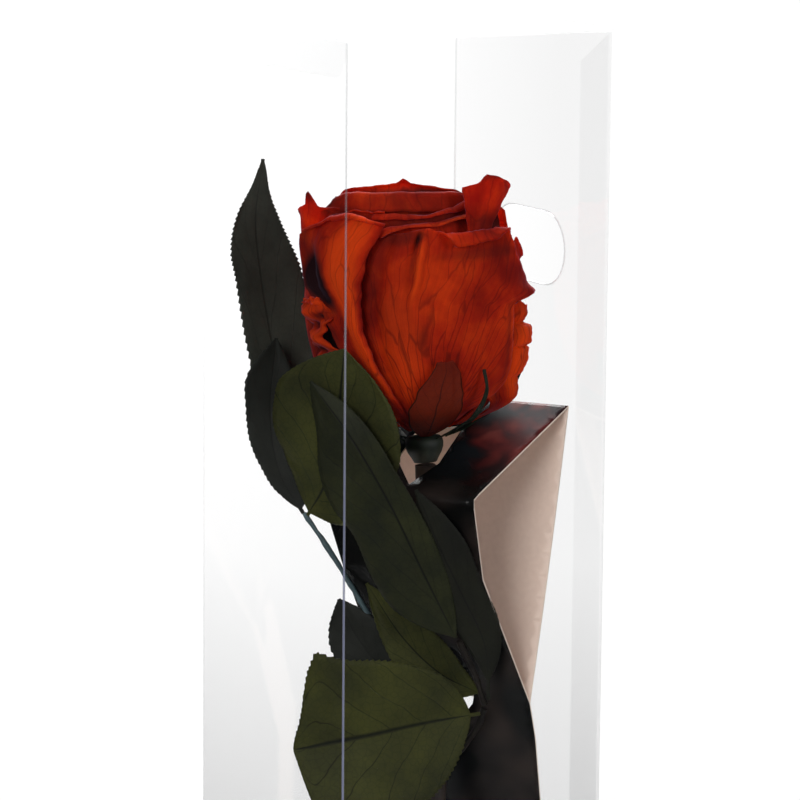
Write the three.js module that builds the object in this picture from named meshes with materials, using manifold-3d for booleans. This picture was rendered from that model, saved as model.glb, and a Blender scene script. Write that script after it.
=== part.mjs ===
// A preserved rose in a clear folding gift case: the film case with its hinged lid, the folded card that
// holds the stem, and the rose with its petals, sepals, stem and compound leaves. Millimetres, +Z up.
// The case's four walls face X and Y. The flower and the card stand in the display frame, which is turned
// so that its X axis runs across the open corner view and its Y axis runs straight away from the viewer.
import * as THREE from "three";
import { mergeVertices } from "three/addons/utils/BufferGeometryUtils.js";
import Module from "manifold-3d";

// Case
const CASE_SIDE = 80; // outer width of each wall
const CASE_HEIGHT = 320;
const FILM = 0.5; // film thickness
const GAP = 0.3; // clearance between neighbouring pieces
const WALL_TOP = CASE_HEIGHT - FILM - GAP;
const SLOT_LENGTH = 37; // finger slot in the right back wall
const SLOT_HEIGHT = 20;
const SLOT_BELOW_TOP = 62; // centre of the slot under the case's top
const SEAM_TAB_WIDTH = 13;
const SEAM_TAB_BEVEL = 8;
const TUCK_DEPTH = 11; // how far a tuck flap reaches into the case
const TUCK_INSET = 1.5; // side clearance of a tuck flap at its root
const TUCK_CORNER = 9; // radius of its free corners
const TUCK_LEAN = 5.5; // degrees that it leans away from the wall
const TUCK_CLEAR = 0.7; // gap between the wall and the flap at its root

// Display frame: the viewer looks at the corner between the front and left walls
const VIEW_TURN = -30;
const degrees = THREE.MathUtils.degToRad;

// Card: section in n (towards the viewer) and z from the top fold; widths along s, from its right end
const CARD = 0.5;
const CARD_TURN = 25; // angle of the card's folds to the display frame's X axis
const CARD_TOP = [45.3, -0.4, 216.4]; // right end of the top fold
const CARD_FRONT = [41, -19.5]; // the round front fold
const CARD_KNEE = [38.4, -41.3];
const CARD_WAIST = [21.5, -78];
const CARD_LOWER = [14, -112];
const CARD_FOOT = [16, -CARD_TOP[2] + FILM + 0.8];
const CARD_FOOT_DEPTH = 9;
const CARD_TOP_WIDTH = 63;
const FRONT_BEND = 5; // radius of the front fold
const STEM_HOLE = [[25.5, 12], [38, 15], [38, 28], [30, 37.5], [25.6, 28]]; // in the top facet, as s and n
const WAIST_HOLE = [[3.5, -77], [9, -73], [20, -64], [33, -63], [38, -75], [33, -87], [21, -85], [9, -79.5]];

// Rose head: axis from the base of the petals to the middle of the rim
const HEAD_BASE = new THREE.Vector3(6, -8, 210);
const HEAD_TOP = new THREE.Vector3(0.5, -1.5, 280);
const HEAD_PROFILE = [[0, 5.5], [4, 15], [9, 22.5], [15, 26.7], [24, 29.3], [38, 30.2], [80, 29.8]];
const PETAL_COUNT = 22;
const PETAL_STEP = 18; // degrees between a petal's meridians
const PETAL_TURN = 137.5; // degrees from one petal to the next
const BUD_SHARE = 0.13; // the innermost petal's radius as a share of the outermost's
const PETAL_FILL = 0.3; // half of a petal's thickness as a share of the spacing

// Stem
const STEM_RADIUS = 2.9;
const STEM_PATH = [
  [6.7, -8.9, 201.6], [8.3, -10, 170], [10.2, -12.4, 137], [10, -13, 105], [7.5, -14, 60], [6, -14.5, 9],
];
const HIP_PROFILE = [[0, -7.8], [3, -7.8], [3.4, -6.8], [4.9, -4.6], [5.2, -2.4], [4.4, -0.6], [0, -0.3]];

// Sepals: turn about the head's axis, clearance to the petals, height reached and greatest half width
const SEPALS = [
  { turn: -80, reach: 1.3, height: 22, width: 5.8 },
  { turn: -52, reach: 1.6, height: 18, width: 2, bulge: 5 },
  { turn: 8, reach: 1.1, height: 18, width: 4.5 },
  { turn: 140, reach: 1.1, height: 20, width: 4.5 },
  { turn: 205, reach: 1.3, height: 16, width: 4 },
];

// Leaves: midrib from base to tip; half widths at even steps from base to tip, on the left and right hand of
// a viewer who looks along it; face is the way that the viewer's side looks, at base and tip
const TOOTH_BITE = 0.93; // width between two teeth as a share of the width at a tooth
const LEAST_HALF_WIDTH = 0.5;
const LEAVES = {
  leaf_upper_tall: {
    midrib: [[-28, 0.5, 203], [-34, 6.5, 225], [-38.5, 9, 250], [-40, 9.5, 266], [-38, 9.5, 282]],
    left: [9, 10, 7], right: [8, 9.5, 6], face: [[0.4, -1, 0], [0.5, -1, 0]], teeth: 9,
  },
  leaf_upper_side: {
    midrib: [[-26.5, -11, 189.5], [-33, -5, 199], [-35.5, -1, 214], [-34, 2.5, 234]],
    left: [7, 7.5, 7], right: [7, 7, 5], face: [[0.1, -1, 0], [0.3, -1, 0]], teeth: 8, neck: 0.08,
  },
  leaf_upper_front: {
    midrib: [[-25, -14, 188.5], [-20, -21, 199], [-17, -28, 215], [-15, -33, 237]],
    left: [8, 16, 20, 20, 15], right: [12, 18, 19, 17, 13], face: [[-0.5, -1, 0.1], [-0.5, -1, 0.1]],
    teeth: 9, neck: 0.06, fold: 0,
  },
  leaf_middle_long: {
    midrib: [[15, -30.5, 159], [6, -35, 178], [-3, -38.5, 197], [-13, -38.5, 214], [-24, -33, 228]],
    left: [14, 16, 13], right: [8, 8, 5], face: [[0, -1, 0], [-0.35, -1, 0]], teeth: 9, fold: 4,
  },
  leaf_middle_right: {
    midrib: [[24, -22.5, 140], [22.8, -26.8, 156], [16.5, -31.8, 171], [10.5, -34.2, 184], [6, -35.4, 198]],
    left: [5, 6, 4], right: [5, 5, 4], face: [[0, -1, 0], [0, -1, 0]], teeth: 8, neck: 0.08, fold: 0,
  },
  leaf_middle_low: {
    midrib: [[21.4, -20.2, 141.4], [11, -21.5, 147], [1, -21, 155], [-8, -18.5, 166]],
    left: [6, 8, 7], right: [5, 7, 6], face: [[0, -1, 0], [0, -1, 0]], teeth: 7,
  },
  leaf_lower_broad: {
    midrib: [[21.8, -22.2, 136.2], [7, -28, 135], [-8, -30, 132], [-26.5, -28.5, 127]],
    left: [14, 21, 26, 26, 19], right: [12, 16, 20, 23.5, 25], face: [[0.1, -1, 0.1], [-0.1, -1, 0.1]],
    teeth: 9, neck: 0.06,
  },
  leaf_lower_back: {
    midrib: [[3, -22, 141], [-5, -19, 148], [-12, -17, 154], [-18, -15, 163]],
    left: [6, 8, 7], right: [6, 8, 7], face: [[0, -1, 0], [0, -1, 0]], teeth: 7,
  },
};

const DARK_LEAVES = ["leaf_upper_tall", "leaf_upper_side", "leaf_lower_back"];

// Leaf stalks: points from the stem outwards, and radius
const STALKS = {
  stalk_upper: {
    points: [
      [8.2, -16, 132], [6, -18, 139], [0, -17.5, 150], [-9, -16.5, 163], [-19, -14.5, 179], [-26, -12, 187.6],
    ],
    radius: 0.7,
  },
  stalk_middle: { points: [[23, -20.8, 138.6], [20, -24.5, 148], [15.8, -28.4, 157.6]], radius: 0.9 },
  stalk_lower: {
    points: [[13.4, -15.2, 119.8], [17, -16.6, 125], [20.8, -18.6, 131], [23, -20, 137]],
    radius: 1,
  },
};

const film = new THREE.MeshStandardMaterial({ color: 0xf2f4f6, roughness: 0.08 });
const card = new THREE.MeshStandardMaterial({ color: 0x2a2022, roughness: 0.25 });
const petalRed = new THREE.MeshStandardMaterial({ color: 0xa82a10, roughness: 0.7 });
const leafDark = new THREE.MeshStandardMaterial({ color: 0x262a1e, roughness: 0.5 });
const leafOlive = new THREE.MeshStandardMaterial({ color: 0x3a3d22, roughness: 0.55 });
const stemGreen = new THREE.MeshStandardMaterial({ color: 0x3c4a2a, roughness: 0.6 });
const sepalGreen = new THREE.MeshStandardMaterial({ color: 0x25382a, roughness: 0.6 });

const wasm = await Module();
wasm.setup();

const rose = new THREE.Group();
const display = new THREE.Group();
display.rotation.z = degrees(VIEW_TURN);
rose.add(display);

function add(group, name, geometry, material) {
  const mesh = new THREE.Mesh(geometry, material);
  mesh.name = name;
  group.add(mesh);
  return mesh;
}

function solidOf(geometry) {
  const bare = geometry.clone();
  for (const name of Object.keys(bare.attributes)) {
    if (name !== "position") bare.deleteAttribute(name);
  }
  const merged = mergeVertices(bare, 1e-4);
  return new wasm.Manifold(
    new wasm.Mesh({
      numProp: 3,
      vertProperties: new Float32Array(merged.attributes.position.array),
      triVerts: new Uint32Array(merged.index.array),
    }),
  );
}

function geometryOf(solid) {
  const data = solid.getMesh();
  const places = new Float32Array(data.numVert * 3);
  for (let i = 0; i < data.numVert; i++) {
    places.set(data.vertProperties.subarray(i * data.numProp, i * data.numProp + 3), i * 3);
  }
  const geometry = new THREE.BufferGeometry();
  geometry.setAttribute("position", new THREE.BufferAttribute(places, 3));
  geometry.setIndex(new THREE.BufferAttribute(new Uint32Array(data.triVerts), 1));
  geometry.computeVertexNormals();
  return geometry;
}

// A closed sheet between two grids of points: front[row][column] and back[row][column].
function sheetBetween(front, back) {
  const rows = front.length;
  const columns = front[0].length;
  const places = [...front.flat(), ...back.flat()].flatMap((p) => [p.x, p.y, p.z]);
  const at = (side, i, j) => side * rows * columns + i * columns + j;
  const faces = [];
  const quad = (a, b, c, d) => faces.push(a, b, c, a, c, d);
  for (let i = 0; i < rows - 1; i++) {
    for (let j = 0; j < columns - 1; j++) {
      quad(at(0, i, j), at(0, i, j + 1), at(0, i + 1, j + 1), at(0, i + 1, j));
      quad(at(1, i, j), at(1, i + 1, j), at(1, i + 1, j + 1), at(1, i, j + 1));
    }
    quad(at(0, i, 0), at(0, i + 1, 0), at(1, i + 1, 0), at(1, i, 0));
    quad(at(0, i + 1, columns - 1), at(0, i, columns - 1), at(1, i, columns - 1), at(1, i + 1, columns - 1));
  }
  for (let j = 0; j < columns - 1; j++) {
    quad(at(0, 0, j + 1), at(0, 0, j), at(1, 0, j), at(1, 0, j + 1));
    quad(at(0, rows - 1, j), at(0, rows - 1, j + 1), at(1, rows - 1, j + 1), at(1, rows - 1, j));
  }
  const geometry = new THREE.BufferGeometry();
  geometry.setAttribute("position", new THREE.Float32BufferAttribute(places, 3));
  geometry.setIndex(faces);
  geometry.computeVertexNormals();
  return geometry;
}

// A round rod along a curve through the given points.
function rod(points, radius, sides, steps) {
  const path = new THREE.CatmullRomCurve3(points.map((p) => new THREE.Vector3(...p)));
  const section = new THREE.Shape();
  for (let i = 0; i < sides; i++) {
    const turn = (2 * Math.PI * i) / sides;
    const x = radius * Math.cos(turn);
    const y = radius * Math.sin(turn);
    if (i === 0) section.moveTo(x, y);
    else section.lineTo(x, y);
  }
  return new THREE.ExtrudeGeometry(section, { steps, bevelEnabled: false, extrudePath: path });
}

function polygon(points) {
  return new THREE.Shape(points.map(([x, y]) => new THREE.Vector2(x, y)));
}

function square(half) {
  return polygon([[-half, -half], [half, -half], [half, half], [-half, half]]);
}

// Case: the folded sleeve with its seam tab and finger slot
function sleeve() {
  const outline = square(CASE_SIDE / 2);
  outline.holes.push(square(CASE_SIDE / 2 - FILM));
  const walls = solidOf(new THREE.ExtrudeGeometry(outline, { depth: WALL_TOP, bevelEnabled: false }));

  const inner = CASE_SIDE / 2 - FILM;
  const tabOutline = polygon([
    [-inner, 1], [-inner + SEAM_TAB_WIDTH, 1 + SEAM_TAB_BEVEL],
    [-inner + SEAM_TAB_WIDTH, WALL_TOP - 1 - SEAM_TAB_BEVEL], [-inner, WALL_TOP - 1],
  ]);
  const tab = new THREE.ExtrudeGeometry(tabOutline, { depth: FILM, bevelEnabled: false });
  tab.rotateX(Math.PI / 2).rotateZ(Math.PI / 2);
  tab.translate(inner - FILM * 0.8, 0, 0);

  const radius = SLOT_HEIGHT / 2;
  const reach = SLOT_LENGTH / 2 - radius;
  const stadium = new THREE.Shape();
  stadium.absarc(reach, 0, radius, -Math.PI / 2, Math.PI / 2, false);
  stadium.absarc(-reach, 0, radius, Math.PI / 2, (3 * Math.PI) / 2, false);
  const slot = new THREE.ExtrudeGeometry(stadium, { depth: 6, bevelEnabled: false, curveSegments: 8 });
  slot.rotateX(Math.PI / 2).rotateZ(Math.PI / 2);
  slot.translate(CASE_SIDE / 2 - 3, 0, CASE_HEIGHT - SLOT_BELOW_TOP);

  add(rose, "case_sleeve", geometryOf(walls.add(solidOf(tab)).subtract(solidOf(slot))), film);
}

// A closing panel with its tuck flap: the panel lies at the bottom, the flap stands up along the left wall
function closure(half) {
  const panel = solidOf(new THREE.ExtrudeGeometry(square(half), { depth: FILM, bevelEnabled: false }));
  const side = CASE_SIDE / 2 - FILM - TUCK_INSET;
  const outline = new THREE.Shape();
  outline.moveTo(-side, 0);
  outline.lineTo(side, 0);
  outline.absarc(side - TUCK_CORNER, TUCK_DEPTH - TUCK_CORNER, TUCK_CORNER, 0, Math.PI / 2, false);
  outline.absarc(-side + TUCK_CORNER, TUCK_DEPTH - TUCK_CORNER, TUCK_CORNER, Math.PI / 2, Math.PI, false);
  const flap = new THREE.ExtrudeGeometry(outline, { depth: FILM, bevelEnabled: false, curveSegments: 5 });
  flap.rotateX(Math.PI / 2).rotateZ(Math.PI / 2);
  flap.rotateY(degrees(TUCK_LEAN));
  flap.translate(-CASE_SIDE / 2 + FILM + TUCK_CLEAR, 0, FILM * 0.2);
  return panel.add(solidOf(flap));
}

function caseEnds() {
  const base = geometryOf(closure(CASE_SIDE / 2 - FILM - GAP));
  add(rose, "case_base", base, film);
  const lid = geometryOf(closure(CASE_SIDE / 2));
  lid.rotateX(Math.PI);
  const mesh = add(rose, "case_lid", lid, film);
  mesh.position.z = CASE_HEIGHT;
}

// Card: a strip as thick as the card along a section of n and z points, cut to its outline
function strip(section, width) {
  const left = [];
  const right = [];
  section.forEach(([n, z], i) => {
    const before = section[Math.max(i - 1, 0)];
    const after = section[Math.min(i + 1, section.length - 1)];
    const along = new THREE.Vector2(after[0] - before[0], after[1] - before[1]).normalize();
    left.push([n - (along.y * CARD) / 2, z + (along.x * CARD) / 2]);
    right.unshift([n + (along.y * CARD) / 2, z - (along.x * CARD) / 2]);
  });
  const outline = polygon([...left, ...right]);
  return solidOf(new THREE.ExtrudeGeometry(outline, { depth: width, bevelEnabled: false }));
}

function frontFold() {
  const [frontN, frontZ] = CARD_FRONT;
  const curve = new THREE.QuadraticBezierCurve(
    new THREE.Vector2(frontN - FRONT_BEND, (frontZ * (frontN - FRONT_BEND)) / frontN),
    new THREE.Vector2(frontN + 0.6, frontZ - 0.3),
    new THREE.Vector2(frontN, frontZ - FRONT_BEND),
  );
  return curve.getPoints(4).map((p) => [p.x, p.y]);
}

function cardInsert() {
  const holder = new THREE.Group();
  holder.position.set(...CARD_TOP);
  const turn = degrees(180 - CARD_TURN);
  const s = new THREE.Vector3(Math.cos(turn), Math.sin(turn), 0);
  const n = new THREE.Vector3(-Math.sin(degrees(CARD_TURN)), -Math.cos(degrees(CARD_TURN)), 0);
  // the section is drawn with n along its X axis and z along its Y axis, and s comes out of the page
  const frame = new THREE.Matrix4().makeBasis(n, new THREE.Vector3(0, 0, 1), s);

  const front = strip([[0, 0], ...frontFold(), CARD_KNEE, CARD_WAIST, CARD_LOWER, CARD_FOOT,
    [CARD_FOOT[0] + CARD_FOOT_DEPTH, CARD_FOOT[1]]], CARD_TOP_WIDTH);
  const back = strip([[0, 0], CARD_WAIST], CARD_TOP_WIDTH);
  const low = CARD_FOOT[1] - 2;
  const far = CARD_TOP_WIDTH + 2;
  // side cuts as z and s outlines, extruded along n
  const cut = (points) => {
    const cutter = new THREE.ExtrudeGeometry(polygon(points), { depth: 80, bevelEnabled: false });
    cutter.applyMatrix4(new THREE.Matrix4().makeBasis(
      new THREE.Vector3(0, 1, 0), new THREE.Vector3(0, 0, 1), new THREE.Vector3(1, 0, 0)));
    cutter.translate(-20, 0, 0);
    return solidOf(cutter);
  };
  const frontRight = [[2, 0], [CARD_FRONT[1], 9.7], [CARD_KNEE[1], 7.8], [CARD_WAIST[1], 1], [-88, 0.2],
    [-107, 0.2], [low, 3], [low, -2], [2, -2]];
  const frontLeft = [[2, far - 2], [CARD_FRONT[1], 55], [CARD_KNEE[1], 49], [CARD_WAIST[1], 43], [-112, 39],
    [low, 39], [low, far], [2, far]];
  const backRight = [[2, 0], [CARD_WAIST[1], 1], [low, 1], [low, -2], [2, -2]];
  const backLeft = [[2, far - 2], [-12, 62], [-44, 50], [CARD_WAIST[1], 43], [low, 43], [low, far], [2, far]];
  const stemHole = STEM_HOLE.map(([at, depth]) => [depth, at]);
  const holeCutter = new THREE.ExtrudeGeometry(polygon(stemHole), { depth: 24, bevelEnabled: false });
  holeCutter.applyMatrix4(new THREE.Matrix4().makeBasis(
    new THREE.Vector3(1, 0, 0), new THREE.Vector3(0, 0, 1), new THREE.Vector3(0, -1, 0)));
  const waist = WAIST_HOLE.map(([at, z]) => [z, at]);
  const facets = front.subtract(cut(frontRight)).subtract(cut(frontLeft)).subtract(solidOf(holeCutter))
    .subtract(cut(waist));
  const rear = back.subtract(cut(backRight)).subtract(cut(backLeft));
  const insert = geometryOf(facets.add(rear));
  insert.applyMatrix4(frame);
  add(holder, "card_insert", insert, card);
  display.add(holder);
}

// Rose head: nested petals on a barrel profile, each on a level of its own
const headAxis = HEAD_TOP.clone().sub(HEAD_BASE);
const HEAD_HEIGHT = headAxis.length();
const headFrame = new THREE.Group();
headFrame.position.copy(HEAD_BASE);
headFrame.quaternion.setFromUnitVectors(new THREE.Vector3(0, 0, 1), headAxis.clone().normalize());
display.add(headFrame);

function profileRadius(height) {
  for (let i = 1; i < HEAD_PROFILE.length; i++) {
    const [h0, r0] = HEAD_PROFILE[i - 1];
    const [h1, r1] = HEAD_PROFILE[i];
    if (height <= h1) return r0 + ((r1 - r0) * (height - h0)) / (h1 - h0);
  }
  return HEAD_PROFILE[HEAD_PROFILE.length - 1][1];
}

function petal(index) {
  const share = index / (PETAL_COUNT - 1);
  const level = BUD_SHARE + (1 - BUD_SHARE) * share;
  const spacing = (1 - BUD_SHARE) / (PETAL_COUNT - 1);
  const span = THREE.MathUtils.lerp(270, 126, Math.min(1, share * 2.2));
  const meridians = Math.round(span / PETAL_STEP);
  const first = Math.round((index * PETAL_TURN) / PETAL_STEP);
  const root = 1 + 10 * (1 - level);
  const rim = HEAD_HEIGHT - 7 * share * share - 3 * (1 - share);
  const knots = HEAD_PROFILE.map(([h]) => h).filter((h) => h > root + 1.2 && h < 40);
  const shell = (radiusShare) => {
    const grid = [];
    for (let row = 0; row < knots.length + 3; row++) {
      const line = [];
      for (let step = 0; step <= meridians; step++) {
        const across = (2 * step) / meridians - 1;
        const top = rim - (rim - root) * 0.24 * Math.abs(across) ** 3;
        const height = [root, ...knots, (knots[knots.length - 1] + top) / 2, top][row];
        const turn = degrees((first + step) * PETAL_STEP);
        const radius = radiusShare * profileRadius(height);
        line.push(new THREE.Vector3(radius * Math.cos(turn), radius * Math.sin(turn), height));
      }
      grid.push(line);
    }
    return grid;
  };
  return sheetBetween(shell(level + spacing * PETAL_FILL), shell(level - spacing * PETAL_FILL));
}

function roseHead() {
  for (let index = 0; index < PETAL_COUNT; index++) {
    const name = "petal_" + String(index + 1).padStart(2, "0");
    add(headFrame, name, petal(index), petalRed);
  }
  const hip = new THREE.LatheGeometry(HIP_PROFILE.map(([r, h]) => new THREE.Vector2(r, h)), 12);
  hip.rotateX(Math.PI / 2);
  add(headFrame, "receptacle", hip, sepalGreen);
}

// A leaf blade with its short stalk: a midrib through its points, half widths to each side, and teeth
function blade(leaf) {
  const { midrib, left, right, face, teeth = 0, fold = 12, thick = 0.5, neck = 0, rows = teeth * 2 } = leaf;
  const path = new THREE.CatmullRomCurve3(midrib.map((p) => new THREE.Vector3(...p)));
  const facing = face.map((p) => new THREE.Vector3(...p).normalize());
  const lift = Math.sin(degrees(fold));
  const reach = Math.cos(degrees(fold));
  const front = [];
  const back = [];
  for (let i = 0; i <= rows; i++) {
    const u = i / rows;
    const middle = path.getPoint(u);
    const along = path.getTangent(u);
    const toward = facing[0].clone().lerp(facing[1], u);
    const side = new THREE.Vector3().crossVectors(toward, along).normalize();
    const normal = new THREE.Vector3().crossVectors(along, side).normalize();
    const bite = teeth && i % 2 ? TOOTH_BITE : 1;
    const share = Math.max(0, (u - neck) / (1 - neck));
    const line = [[-1, right], [0, null], [1, left]].map(([way, widths]) => {
      const width = widths ? Math.max(LEAST_HALF_WIDTH, bladeWidth(widths, share) * bite) : 0;
      return middle.clone().addScaledVector(side, way * width * reach).addScaledVector(normal, width * lift);
    });
    front.push(line.map((p) => p.clone().addScaledVector(normal, thick / 2)));
    back.push(line.map((p) => p.clone().addScaledVector(normal, -thick / 2)));
  }
  return sheetBetween(back, front);
}

// Half width at u along the blade, through widths at even steps, closing quickly at both ends
function bladeWidth(widths, u) {
  const knots = [0, ...widths, 0];
  const last = knots.length - 1;
  const slope = (i) => {
    if (i === 0) return knots[1] * 1.6;
    if (i === last) return -knots[last - 1] * 1.5;
    return (knots[i + 1] - knots[i - 1]) / 2;
  };
  const place = Math.min(u * last, last - 0.001);
  const i = Math.floor(place);
  const t = place - i;
  const t2 = t * t;
  const t3 = t2 * t;
  return knots[i] * (2 * t3 - 3 * t2 + 1) + slope(i) * (t3 - 2 * t2 + t) + knots[i + 1] * (3 * t2 - 2 * t3)
    + slope(i + 1) * (t3 - t2);
}

function sepals() {
  SEPALS.forEach(({ turn, reach, height, width, bulge = 0 }, index) => {
    const place = new THREE.Group();
    place.rotation.z = degrees(turn);
    const out = (h) => profileRadius(h) + reach + bulge * Math.sin((Math.PI * h) / height);
    const leaf = {
      midrib: [[5.9, 0, -1.2], [out(2), 0, 1.2], [out(height * 0.35), 0, height * 0.35 - 0.8],
        [out(height * 0.7), 0, height * 0.7], [out(height), 0, height]],
      left: [width * 0.8, width, width * 0.6], right: [width * 0.8, width, width * 0.6],
      face: [[0.4, 0, -1], [1, 0, -0.2]], fold: 0, rows: 9,
    };
    add(place, "sepal_" + (index + 1), blade(leaf), sepalGreen);
    headFrame.add(place);
  });
}

function leaves() {
  for (const [name, leaf] of Object.entries(LEAVES)) {
    add(display, name, blade(leaf), DARK_LEAVES.includes(name) ? leafDark : leafOlive);
  }
  for (const [name, { points, radius }] of Object.entries(STALKS)) {
    add(display, name, rod(points, radius, 6, 10), stemGreen);
  }
  add(display, "stem", rod(STEM_PATH, STEM_RADIUS, 10, 14), stemGreen);
}

sleeve();
caseEnds();
cardInsert();
roseHead();
sepals();
leaves();

export default rose;
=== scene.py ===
# A preserved rose in a clear folding gift case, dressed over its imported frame.
# Lengths are in millimetres in the display frame: x to the right of the open corner view, y away, z up.
import bpy
import bmesh
import math
from functools import partial
import numpy as np
from mathutils import Vector, Matrix, noise
from mathutils.geometry import delaunay_2d_cdt


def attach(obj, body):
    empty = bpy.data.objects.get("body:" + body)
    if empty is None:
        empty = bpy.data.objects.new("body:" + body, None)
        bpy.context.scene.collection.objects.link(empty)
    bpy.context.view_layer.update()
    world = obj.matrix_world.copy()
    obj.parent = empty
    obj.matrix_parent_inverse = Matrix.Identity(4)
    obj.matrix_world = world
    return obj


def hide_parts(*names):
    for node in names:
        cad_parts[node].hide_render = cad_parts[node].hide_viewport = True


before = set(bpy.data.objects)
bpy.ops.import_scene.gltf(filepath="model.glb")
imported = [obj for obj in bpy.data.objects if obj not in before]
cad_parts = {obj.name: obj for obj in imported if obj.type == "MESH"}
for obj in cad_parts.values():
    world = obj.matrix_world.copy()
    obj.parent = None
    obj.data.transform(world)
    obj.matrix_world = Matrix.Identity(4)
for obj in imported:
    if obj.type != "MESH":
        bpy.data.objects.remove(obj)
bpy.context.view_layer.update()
scene = bpy.context.scene
mm = 0.001
displayToFrame = Matrix.Scale(mm, 4) @ Matrix.Rotation(math.radians(-30), 4, "Z")

# ---- camera, light and floor
view = {
    "place": (-0.53407, -0.92423, 0.40576),
    "forward": (0.49242, 0.85289, -0.17348),
    "roll": 0.46,  # degrees
    "lens": 180,
    "sensor": 36,
}


def makeCamera():
    data = bpy.data.cameras.new("camera")
    data.lens = view["lens"]
    data.sensor_width = view["sensor"]
    data.clip_start = 0.02
    camera = bpy.data.objects.new("camera", data)
    scene.collection.objects.link(camera)
    turn = Vector(view["forward"]).to_track_quat("-Z", "Y").to_matrix().to_4x4()
    roll = Matrix.Rotation(math.radians(view["roll"]), 4, "Z")
    camera.matrix_world = Matrix.Translation(view["place"]) @ turn @ roll
    scene.camera = camera


def linear(hexColour):
    # sRGB hex, such as "a82a10", to linear light
    parts = [int(hexColour[i:i + 2], 16) / 255 for i in (0, 2, 4)]
    return tuple(c / 12.92 if c <= 0.04045 else ((c + 0.055) / 1.055) ** 2.4 for c in parts) + (1,)


def addNode(tree, kind, inputs=None, stops=(), **settings):
    # one node with its settings and links: an input is a value, a node, or a node and its output, and stops
    # are a colour ramp's places and colours
    node = tree.nodes.new(kind)
    for name, value in settings.items():
        setattr(node, name, value)
    for name, value in (inputs or {}).items():
        source, output = value if isinstance(value, tuple) and len(value) == 2 else (value, 0)
        if isinstance(source, bpy.types.Node):
            tree.links.new(source.outputs[output], node.inputs[name])
        else:
            node.inputs[name].default_value = value
    for _ in stops[2:]:
        node.color_ramp.elements.new(0.5)
    for k, (place, colour) in enumerate(stops):
        node.color_ramp.elements[k].position = place
        node.color_ramp.elements[k].color = linear(colour)
    return node


def newMaterial(name):
    # an empty material, and the function that adds its nodes
    material = bpy.data.materials.new(name)
    material.use_nodes = True
    material.node_tree.nodes.clear()
    return material, partial(addNode, material.node_tree)


light = {
    "behind": {"place": (0.7, 1.25, 0.9), "aim": (0, 0, 0.2), "size": (1.1, 1.1), "power": 34},
    "left": {"place": (-1.25, -0.85, 0.75), "aim": (0, 0, 0.2), "size": (0.7, 0.7), "power": 13},
    "right": {"place": (0.55, -1.5, 0.62), "aim": (0, 0, 0.2), "size": (0.5, 0.7), "power": 9},
    "top": {"place": (0.25, 0.45, 1.35), "aim": (0, 0, 0.25), "size": (0.8, 0.8), "power": 10},
}
room = {
    "left": (1.04, 1.3), "right": 1.01,  # what the camera sees of the backdrop, low and high on its left side
    "sideways": (0.866, -0.5, 0),
    "above": ("c8cbd0", 0.42), "below": ("26282e", 0.4),  # what lights and mirrors in the object
}
floorDisc = {"radius": 0.34, "fadeFrom": 0.16, "fadeTo": 0.33, "depth": -0.0002, "colour": "f4f4f2"}


def makeLights():
    for name, s in light.items():
        data = bpy.data.lights.new(name, "AREA")
        data.shape = "RECTANGLE"
        data.size, data.size_y = s["size"]
        data.energy = s["power"]
        lamp = bpy.data.objects.new("light_" + name, data)
        scene.collection.objects.link(lamp)
        aim = Vector(s["aim"]) - Vector(s["place"])
        lamp.matrix_world = Matrix.Translation(s["place"]) @ aim.to_track_quat("-Z", "Y").to_matrix().to_4x4()
        lamp.visible_camera = False
    world = bpy.data.worlds.new("studio")
    scene.world = world
    world.use_nodes = True
    world.node_tree.nodes.clear()
    add = partial(addNode, world.node_tree)
    way = add("ShaderNodeTexCoord")
    parts = add("ShaderNodeSeparateXYZ", {0: (way, "Generated")})
    height = add("ShaderNodeMapRange", {"Value": (parts, "Z"), "From Min": -0.27, "From Max": -0.07})
    left = add("ShaderNodeMapRange", {"Value": height, "To Min": room["left"][0], "To Max": room["left"][1]})
    aside = add("ShaderNodeVectorMath", {0: (way, "Generated"), 1: room["sideways"]}, operation="DOT_PRODUCT")
    backdrop = add("ShaderNodeMapRange", {"Value": (aside, "Value"), "From Min": -0.04, "From Max": 0.04,
                                          "To Min": left, "To Max": room["right"]})
    seen = add("ShaderNodeBackground", {"Color": (1, 1, 1, 1), "Strength": backdrop})
    above, below = [add("ShaderNodeBackground", {"Color": linear(room[k][0]), "Strength": room[k][1]})
                    for k in ("above", "below")]
    level = add("ShaderNodeMapRange", {"Value": (parts, "Z"), "From Min": -0.06, "From Max": 0.14})
    dim = add("ShaderNodeMixShader", {0: level, 1: below, 2: above})
    path = add("ShaderNodeLightPath")
    mix = add("ShaderNodeMixShader", {0: (path, "Is Camera Ray"), 1: dim, 2: seen})
    add("ShaderNodeOutputWorld", {"Surface": mix})


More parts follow.
